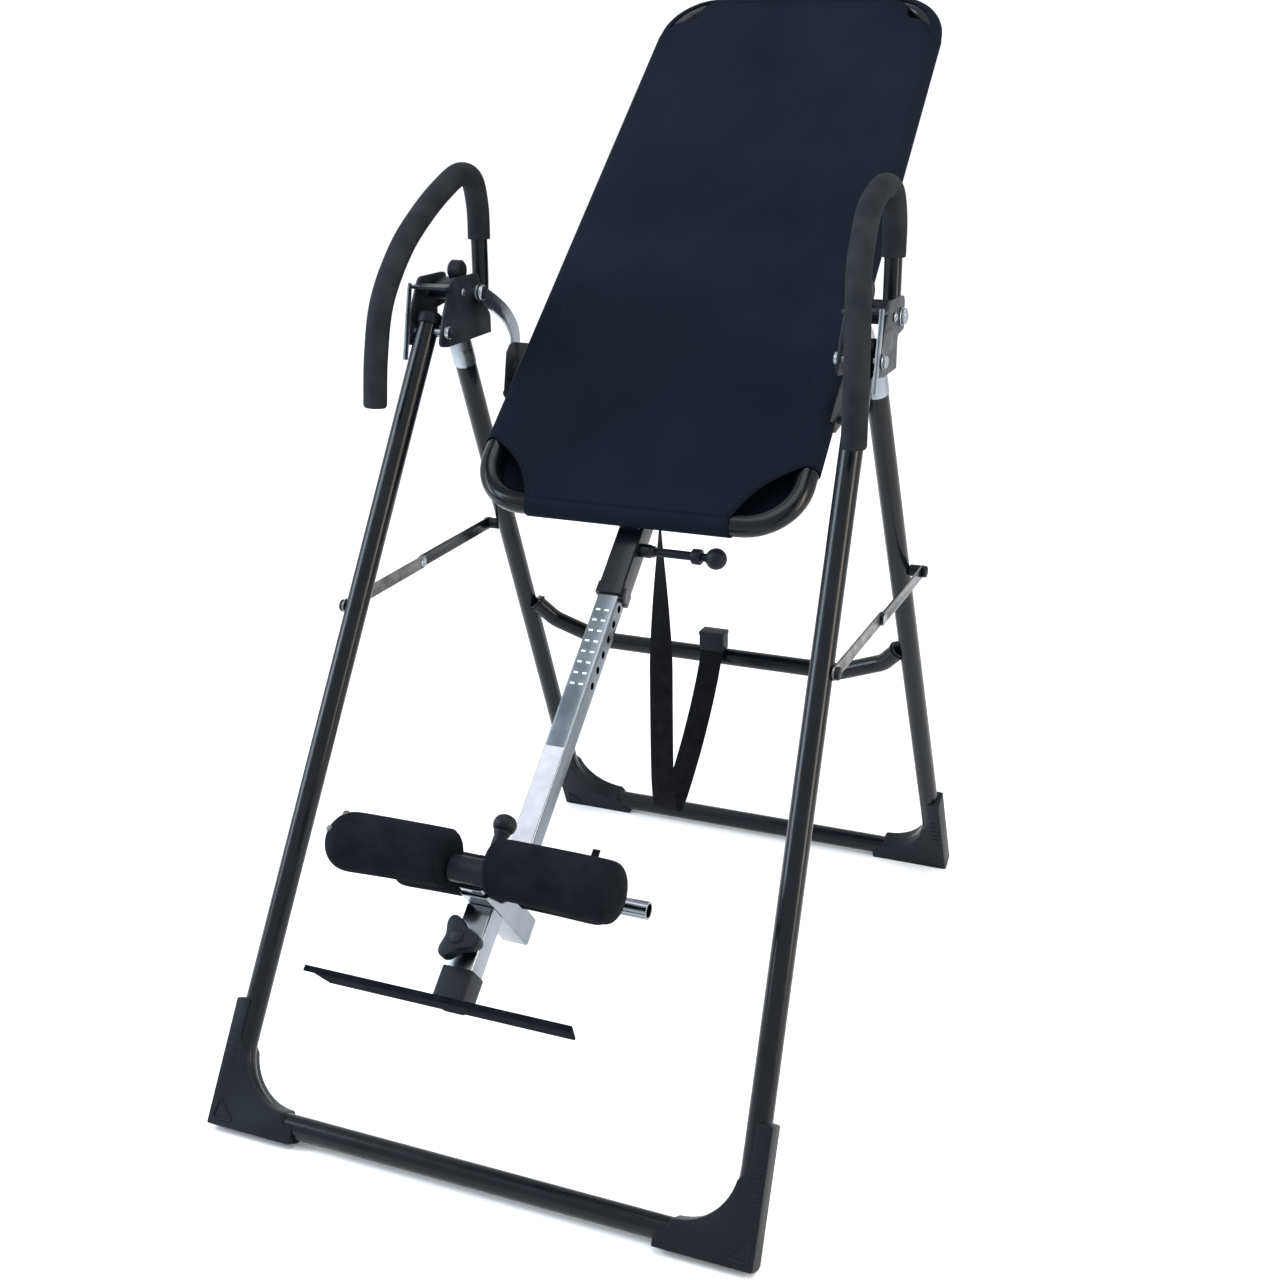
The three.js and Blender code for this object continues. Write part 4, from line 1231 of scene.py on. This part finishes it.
def make_sleeve_stitches():
    rows = []
    fx, hx, low = CUTS["foot_x"], CUTS["head_x"], CUTS["foot_side"]
    high = CUTS["head_side"] - 20
    for side in (-1, 1):
        edge = bowed((fx - 10, TUBE + 3), (bed_half(low) - 2, low + 10), 13)
        rows.append(sewn([Vector((side * p.x, p.y)) for p in edge], 4.5, 3.0))
        seam = even((bed_half(low) - 24, low + 16), (bed_half(high) - 24, high - 16), 30)
        rows.append(sewn([Vector((side * p.x, p.y)) for p in seam]))
    rows.append(sewn(even((-fx + 6, TUBE + 22), (fx - 6, TUBE + 22), 20)))
    rows.append(sewn(even((-hx + 6, HEAD_Z - 22), (hx - 6, HEAD_Z - 22), 20)))
    to_piece("sleeve_stitches", joined("sleeve_stitches", rows), THREAD, "bed")


make_sleeve_stitches()
print("sleeve stitches done")

# %% [markdown]
# ## Shaft and receiver
# The height shaft is a plated square tube with a row of holes on one side for the spring pin. It runs
# in a black square sleeve under the bed. Square tube has rounded corners, so it is drawn as a rounded
# outline pushed along its axis. The holes are cut with a row of round bars made by the row tree. Scale
# ticks and a blank pale sticker sit on the front face.

# %% Square tube
def round_square(half, corner):
    outline = []
    for k, (sx, sy) in enumerate(((1, 1), (-1, 1), (-1, -1), (1, -1))):
        middle = (sx * (half - corner), sy * (half - corner))
        outline += arc(middle, corner, 90 * k, 90 * k + 90, 5)
    return outline


def square_tube(name, size, wall, start, end, place, corner=3.2):
    """A square tube along local Z with an eased mouth at each end."""
    half = size / 2
    rings = [(half - wall, corner * 0.5, start), (half - 0.5, corner, start), (half, corner, start + 0.5),
             (half, corner, end - 0.5), (half - 0.5, corner, end), (half - wall, corner * 0.5, end)]
    rows = [[(x, y, z) for x, y in round_square(reach, round_off)] for reach, round_off, z in rings]
    vertices = [v for row in rows for v in row]
    return mesh_from(name, vertices, skin(len(rows), len(rows[0]), wrap=True), place)


def drilled(mesh, cutter_mesh):
    """The mesh with the cutters taken out of it."""
    body, cutter = placed("body", mesh), placed("cutter", cutter_mesh)
    work = body.modifiers.new("drill", "BOOLEAN")
    work.operation = "DIFFERENCE"
    work.solver = "EXACT"
    work.object = cutter
    out = evaluated(body)
    bpy.data.objects.remove(body)
    bpy.data.objects.remove(cutter)
    return out


SHAFT_Y = 42.0
SHAFT_HALF = 16.0
SHAFT_ENDS = (-558.7, 330.0)
PIN_Z = -16.0
PIN_PITCH = 25.0
PIN_HOLES = 10
HOLE_RADIUS = 5.5
TICKS = {"top": -129.0, "count": 8, "pitch": 17.0}
LABEL = {"width": 28.0, "length": 195.0, "middle": -443.0}
STICKER_THICK = 0.3
RECEIVER = {"size": 38.0, "foot": -100.0, "head": 300.0}
CRADLE_Z = 280.0
CRADLE_DEEP = 12.8
CRADLE_RADIUS = 12.5


def make_shaft():
    along = BED_PLANE @ Matrix.Translation((0, SHAFT_Y, 0))
    bar = square_tube("height_shaft", 2 * SHAFT_HALF, 1.5, *SHAFT_ENDS, along)
    first = BED_PLANE @ aim((1, 0, 0), (SHAFT_HALF - 4, SHAFT_Y, PIN_Z))
    cutter = lathe("hole", [(0, 0), (HOLE_RADIUS, 0), (HOLE_RADIUS, 8), (0, 8)], first, 24)
    holes = row_of(cutter, PIN_HOLES, (0, 0, -PIN_PITCH), STEEL, BED_PLANE)
    to_piece("height_shaft", drilled(bar, holes), SHAFT, "height_shaft", ["main_shaft"])
    face = SHAFT_Y - SHAFT_HALF - 0.12
    marks = [block("tick", (6.5, STICKER_THICK, 3), (x, face, TICKS["top"]), BED_PLANE, 0)
             for x in (-7, 6)]
    ticks = [row_of(mark, TICKS["count"], (0, 0, -TICKS["pitch"]), PALE_INK, BED_PLANE)
             for mark in marks]
    to_piece("scale_ticks", joined("scale_ticks", ticks), PALE_INK, "height_shaft")
    size = (LABEL["width"], STICKER_THICK, LABEL["length"])
    label = block("label", size, (0, face, LABEL["middle"]), BED_PLANE, 0)
    to_piece("blank_label", label, STICKER, "height_shaft")


def make_receiver():
    along = BED_PLANE @ Matrix.Translation((0, SHAFT_Y, 0))
    size, foot, head = RECEIVER["size"], RECEIVER["foot"], RECEIVER["head"]
    parts = [square_tube("sleeve", size, 2.6, foot, head, along, 4.0),
             square_tube("mouth", size + 3, 4.3, foot - 2, foot + 16, along, 4.5),
             block("spacer", (30, 7, 60), (0, SHAFT_Y - size / 2 - 3, 34), BED_PLANE),
             block("lug", (7, 12, 18), (size / 2 + 1, SHAFT_Y - 8, foot + 2), BED_PLANE, 1.2)]
    to_piece("receiver_sleeve", joined("receiver_sleeve", parts), PAINT, "bed", ["shaft_receiver"])


def make_cradle():
    """The tube that runs round behind the receiver from one side of the bed to the other."""
    across = SHAFT_Y + RECEIVER["size"] / 2 + CRADLE_DEEP
    side = BED["half_foot"] - TUBE - 5
    near, far = (side, TUBE + 0.5, CRADLE_Z), (side, across, CRADLE_Z)
    path = bent([(-near[0], *near[1:]), (-far[0], *far[1:]), far, near], 34, 10)
    cradle = [tube(path, CRADLE_RADIUS, PAINT, BED_PLANE)]
    cradle += [weld_bead((s * side, TUBE + 2.5, CRADLE_Z), (0, 1, 0), 13, 1.6, BED_PLANE)
               for s in (-1, 1)]
    to_piece("cradle_tube", joined("cradle_tube", cradle), PAINT, "bed", ["bed_cradle_tube"])


def make_strap_wire():
    """The steel loop under the receiver that holds the strap."""
    base = SHAFT_Y + RECEIVER["size"] / 2 + 0.5
    wire = bent([(-24, base, 110), (-24, base + 20, 110), (24, base + 20, 110), (24, base, 110)], 7, 6)
    to_piece("strap_wire", tube(wire, 3, ZINC, BED_PLANE, sides=16), ZINC, "bed", ["strap_loop"])


def make_height_pin():
    wall = RECEIVER["size"] / 2
    out = BED_PLANE @ aim((1, 0, 0), (wall, SHAFT_Y, PIN_Z))
    bush = lathe("bush", [(5.6, 0.3), *eased([(10, 0.3), (10, 15), (8.4, 16), (8.4, 21), (7.4, 22)]),
                          (5.6, 22), (5.6, 0.3)], out)
    to_piece("pin_bush", bush, PAINT, "bed", ["height_pin_bush"])
    ball = arc((0, 114), 15.5, -57, 83, 20)
    rod = [(0, -1.2), (5, -1.2), (5, 26), (6.4, 27), (6.4, 78), (10.8, 79), (11.4, 81), (11.4, 90),
           (10.8, 92), (6, 93), (6, 99), *ball, (0, 129.5)]
    to_piece("pull_pin", lathe("pull_pin", rod, out), PLASTIC, "height_lock_pin", ["height_pin"])


make_shaft()
make_receiver()
make_cradle()
make_strap_wire()
make_height_pin()
print("shaft and receiver done")

# %% [markdown]
# ## Ankle clamp and foot rest
# A plated cross sleeve on the shaft's end carries a fixed axle with two pads behind the ankles. A
# smaller tube slides in it, locked by a spring pin with a round knob, and carries the front axle and
# its pads. Below it a second sleeve holds the foot rest on its post, clamped by a three-lobed knob.

# %% Clamp metalwork
CLAMP_Z = -578.0
PAD_Y = -82.0
PAD_Z = -575.0
CLAMP_TUBE = 38.0
AXLE = {"y": 15.0, "z": -549.0, "radius": 11.5}
POST = {"y": -5.0, "top": -597.5, "bottom": -695.0, "plate": -730.0}
KNOB_Z = -652.0


def along_y(x, y, z):
    """A frame whose local Z runs along the bed plane's Y."""
    return BED_PLANE @ aim((0, 1, 0), (x, y, z))


def pipe(name, radius, wall, start, end, place):
    profile = [(radius - wall, start), *eased([(radius, start), (radius, end)]), (radius - wall, end),
               (radius - wall, start)]
    return lathe(name, profile, place, 40)


def make_clamp_tubes():
    sleeve = square_tube("sleeve", CLAMP_TUBE, 1.75, -50, 110, along_y(0, 0, CLAMP_Z))
    to_piece("ankle_cross_sleeve", sleeve, CHROME, "height_shaft", ["ankle_sleeve"])
    across = BED_PLANE @ aim((1, 0, 0), (0, AXLE["y"], AXLE["z"]))
    to_piece("rear_pad_axle", pipe("axle", AXLE["radius"], 2.4, -160, 203, across), CHROME,
             "height_shaft", ["rear_axle"])
    slide = square_tube("slide", 32, 1.5, PAD_Y + 16, 107, along_y(0, 0, CLAMP_Z))
    to_piece("clamp_slide_tube", slide, CHROME, "ankle_clamp", ["clamp_tube"])
    front = BED_PLANE @ aim((1, 0, 0), (0, PAD_Y, PAD_Z))
    hub = lathe("hub", eased([(0, -26), (17, -26), (17, 26), (0, 26)], 2.0), front, 48)
    to_piece("clamp_hub_round", hub, PLASTIC, "ankle_clamp", ["clamp_hub"])
    to_piece("front_pad_axle", pipe("axle", 9.5, 1.5, -175, 175, front), CHROME,
             "ankle_clamp", ["front_axle"])


def make_clamp_pin():
    pin_base = BED_PLANE @ aim((0, 0, 1), (0, -35, CLAMP_Z + CLAMP_TUBE / 2))
    bush = lathe("bush", [(4.6, 0.3), *eased([(9, 0.3), (9, 14), (7.6, 15), (7.6, 20)]), (4.6, 20),
                          (4.6, 0.3)], pin_base)
    to_piece("clamp_bush", bush, ZINC, "height_shaft", ["clamp_pin_bush"])
    knob = [(0, -1.2), (4, -1.2), (4, 24), (8.5, 25), (9, 27), (9, 52), (11, 55)]
    knob += [(15.5 * math.cos(math.radians(a)) ** 0.7, 68 + 13 * math.sin(math.radians(a)))
             for a in range(-52, 90, 8)]
    knob.append((0, 80.5))
    to_piece("clamp_pull_knob", lathe("knob", knob, pin_base), PLASTIC, "clamp_pull_pin",
             ["clamp_pin"])


def make_foot_post():
    along = BED_PLANE @ Matrix.Translation((0, POST["y"], 0))
    sleeve = square_tube("sleeve", CLAMP_TUBE, 1.75, POST["bottom"], POST["top"], along)
    to_piece("foot_sleeve", sleeve, CHROME, "height_shaft", ["foot_post_sleeve"])
    collar = square_tube("collar", 43, 2.4, POST["bottom"] - 26.3, POST["bottom"] + 14, along, 5)
    to_piece("foot_collar", collar, PLASTIC, "height_shaft", ["foot_post_collar"])
    outline = [(-183, -60), (183, -60), (171, -8), (-171, -8)]
    plate = slab("plate", outline, 4, BED_PLANE @ Matrix.Translation((0, 0, POST["plate"] - 2)), 1.4)
    post = square_tube("post", 30, 2, POST["plate"] + 1, POST["plate"] + 112, along)
    edge = block("lip", (366, 3, 8), (0, -59.5, POST["plate"] - 2), BED_PLANE, 1.2)
    to_piece("foot_rest_plate", joined("foot_rest_plate", [plate, post, edge]), RUBBER, "foot_rest",
             ["foot_plate"])


def make_lobed_knob():
    at = BED_PLANE @ aim((0, -1, 0), (0, POST["y"] - CLAMP_TUBE / 2 - 14, KNOB_Z))
    reaches = [(a, 22.5 + 7.0 * math.cos(3 * a) + 0.9 * math.cos(6 * a)) for a in round_angles(72)]
    lobes = [(reach * math.cos(a), reach * math.sin(a)) for a, reach in reaches]
    head = slab("knob", lobes, 19, at, bevel=3.0)
    stem = lathe("stem", eased([(0, -20), (4, -20), (4, -8), (10, -8), (12, 1), (0, 1)]), at)
    cap = lathe("cap", [(9, 19), (8.4, 20.6), (6, 21.4), (0, 21.6)], at, 32)
    to_piece("foot_clamp_knob_head", joined("foot_clamp_knob_head", [head, stem, cap]), PLASTIC,
             "foot_clamp_knob", ["foot_knob"])


make_clamp_tubes()
make_clamp_pin()
make_foot_post()
make_lobed_knob()
print("clamp and foot rest done")

# %% [markdown]
# ## Ankle pads
# Each pad is a block of foam in a sewn fabric sleeve, pushed on its axle. It is thickest at its round
# outer end and droops a little there. The pad is shaped as a turned form, and then a short cloth
# simulation with pressure swells its cover, which gives the soft uneven fullness that foam has. A
# seam at the inner end, rivets and a small pull tab are added afterwards.

# %% Pad shapes and their simulation
PAD_FLAT = 0.97


def pad_mesh(side, span, sizes, at, droop, round_off):
    """A closed turned form about X whose outer end is larger, rounder and lower."""
    rings, segments = 31, 36
    (start, end), (thin, thick), (y, z) = span, sizes, at
    vertices = []
    for i in range(rings):
        share = i / (rings - 1)
        x = start + (end - start) * share
        radius = thin + (thick - thin) * share ** 1.6
        from_inner = min(1.0, (x - start) / 9.0)
        from_outer = min(1.0, (end - x) / round_off)
        if share < 0.2:
            radius *= 0.86 + 0.14 * math.sqrt(max(0.0, 1 - (1 - from_inner) ** 2))
        if from_outer < 1:
            radius *= math.sqrt(max(0.02, 1 - (1 - from_outer) ** 2))
        low = z - droop * share ** 2
        vertices += [(side * x, y + radius * math.cos(a), low + radius * PAD_FLAT * math.sin(a))
                     for a in round_angles(segments)]
    ends = [ring_face(0, segments), ring_face(rings - 1, segments)]
    return mesh_from("pad", vertices, skin(rings, segments) + ends, BED_PLANE)


def blown_up(body, pressure, frames, cap):
    """Moves the body's points as a cloth simulation with pressure does, but no further than cap."""
    rest = np.array([v.co for v in body.data.vertices])
    cover = body.modifiers.new("cover", "CLOTH").settings
    cover.use_pressure = True
    cover.uniform_pressure_force = pressure
    cover.tension_stiffness = 25
    cover.compression_stiffness = 25
    cover.bending_stiffness = 3.0
    cover.effector_weights.gravity = 0
    for step in range(1, frames + 1):
        bpy.context.scene.frame_set(step)
    blown = evaluated(body)
    body.modifiers.clear()
    moved = np.array([v.co for v in blown.vertices]) - rest
    far = np.linalg.norm(moved, axis=1, keepdims=True)
    moved *= np.minimum(1.0, cap * MM / np.maximum(far, 1e-9))
    body.data.vertices.foreach_set("co", (rest + moved).astype(np.float32).ravel())
    bpy.context.scene.frame_set(1)


def swelled(mesh):
    """The mesh remeshed evenly, blown up a little by its cover's pressure, and smoothed."""
    body = placed("pad", mesh)
    even_faces = body.modifiers.new("even", "REMESH")
    even_faces.mode = "VOXEL"
    even_faces.voxel_size = 0.005
    body.data = evaluated(body)
    body.modifiers.clear()
    blown_up(body, pressure=3.0, frames=14, cap=3.5)
    soft = body.modifiers.new("soft", "SMOOTH")
    soft.iterations = 6
    fine = body.modifiers.new("fine", "SUBSURF")
    fine.levels = fine.render_levels = 1
    out = evaluated(body)
    bpy.data.objects.remove(body)
    return out


def make_pad(name, node_name, label, side, span, sizes, at, body, droop, round_off):
    raw = pad_mesh(side, span, sizes, at, droop, round_off)
    pad = to_piece(f"{name}_{label}", swelled(raw), PAD_CLOTH, body, [f"{node_name}_{label}"],
                   sharp=80)
    radius = sizes[0] * 0.965
    ring = [(side * (span[0] + 9), at[0] + radius * math.cos(a), at[1] + radius * PAD_FLAT * math.sin(a))
            for a in round_angles(48)]
    seam = tube(ring, 1.0, PAD_CLOTH, BED_PLANE, closed=True, sides=8)
    to_piece(f"{name}_seam_{label}", seam, PAD_CLOTH, body)


def make_pads():
    for label, side in SIDES:
        soft_end = 34.0 if side < 0 else 16.0
        make_pad("front_pad", "front_ankle_pad", label, side, (27, 204), (38.5, 40.5),
                 (PAD_Y - 3, PAD_Z + 9), "ankle_clamp", 4.0, soft_end)
        make_pad("rear_pad", "rear_ankle_pad", label, side, (27, 158), (29.5, 31.5),
                 (AXLE["y"], AXLE["z"]), "height_shaft", 1.0, 20.0)


make_pads()
print("pads done")

# %% Rivets and tab on the pads
def make_pad_trim():
    rivet = [(0, -1), (4.2, -1), (4.2, 0.4), (3.2, 1.4), (0, 1.8)]
    heads = []
    for x, angle, reach in ((-176, 140, 42), (-188, 178, 36)):
        out = Vector((0, math.cos(math.radians(angle)), math.sin(math.radians(angle))))
        spot = Vector((x, PAD_Y - 2, PAD_Z + 5)) + out * reach
        heads.append(lathe("rivet", rivet, BED_PLANE @ aim(out, spot), 20))
    to_piece("pad_rivets", joined("pad_rivets", heads), STEEL, "ankle_clamp")
    tab = block("tab", (10, 2.5, 14), (150, PAD_Y + 4, PAD_Z + 52), BED_PLANE, 1.0)
    to_piece("pad_tab", tab, WEB, "ankle_clamp")


make_pad_trim()
print("rivets and tab done")

# %% [markdown]
# ## Safety strap
# The strap stops the bed from swinging too far back. It is flat webbing that hangs in a bight from a
# wire loop under the receiver to a buckle on the crossbar. Near the loop it is turned on edge, and it
# opens flat lower down. It bends with the bed, but here it is placed in the room and rides on neither
# body.

# %% Strap and buckle
STRAP = {"width": 38.0, "thick": 2.4}
STRAP_TWIST = math.radians(82)
TWIST_RUN = 270.0
STRAP_LINE = [(54, 762), (53, 735), (52, 690), (52, 600), (52, 500), (52, 410), (53, 330), (56, 278),
              (64, 244), (80, 228), (100, 232), (128, 252), (160, 280), (193, 313), (226, 352),
              (253, 390), (272, 424), (283, 446)]


def strap_section():
    """The strap's cross-section, as shares of its half width and half thickness."""
    face = [(-1, 0.6), (-0.9, 1), (-0.45, 1), (0, 1), (0.45, 1), (0.9, 1), (1, 0.6)]
    return face + [(share, -lift) for share, lift in reversed(face)]


def strap_mesh():
    """The strap along its line, on edge at the loop and flat lower down; also gives its length."""
    route = smooth_curve([(0, y, z) for y, z in STRAP_LINE], 5)
    half, thick = STRAP["width"] / 2, STRAP["thick"] / 2
    section = strap_section()
    vertices, length = [], 0.0
    for behind, here, ahead in zip([route[0], *route], route, [*route[1:], route[-1]]):
        run = (ahead - behind).normalized()
        length += (here - behind).length
        twist = STRAP_TWIST * max(0.0, 1 - length / TWIST_RUN)
        across = Matrix.Rotation(twist, 3, run) @ Vector((1, 0, 0))
        normal = across.cross(run)
        vertices += [here + across * half * share + normal * thick * lift for share, lift in section]
    count = len(section)
    ends = [ring_face(0, count), ring_face(len(route) - 1, count)]
    return mesh_from("strap_webbing", vertices, skin(len(route), count) + ends, ROOM), length * MM


def make_strap():
    mesh, length = strap_mesh()
    mesh.materials.append(WEB)
    mesh.shade_smooth()
    mesh.set_sharp_from_angle(angle=math.radians(50))
    strap = placed("strap_webbing", mesh)
    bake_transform(strap)
    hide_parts("safety_strap")
    print("strap length", round(length, 3), "m")


def make_buckle():
    low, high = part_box("strap_buckle")
    x, y, z = (low + high) / 2 / MM
    wide, deep, tall = (high - low) / MM
    y -= ORIGIN_SHIFT_Y
    body = block("buckle", (wide, deep, tall - 8), (x, y, z - 3), ROOM, 2.0)
    brim = block("brim", (wide + 2, deep + 1, 8), (x, y, z + tall / 2 - 4), ROOM, 2.4)
    rib = block("rib", (wide - 10, 1.4, 2), (x, y - deep / 2, z - 14), ROOM, 0.5)
    ribs = row_of(rib, 4, (0, 0, 5), PLASTIC, ROOM)
    to_piece("strap_buckle_cap", joined("strap_buckle_cap", [body, brim, ribs]), PLASTIC, "rear_frame",
             ["strap_buckle"])


make_buckle()
make_strap()
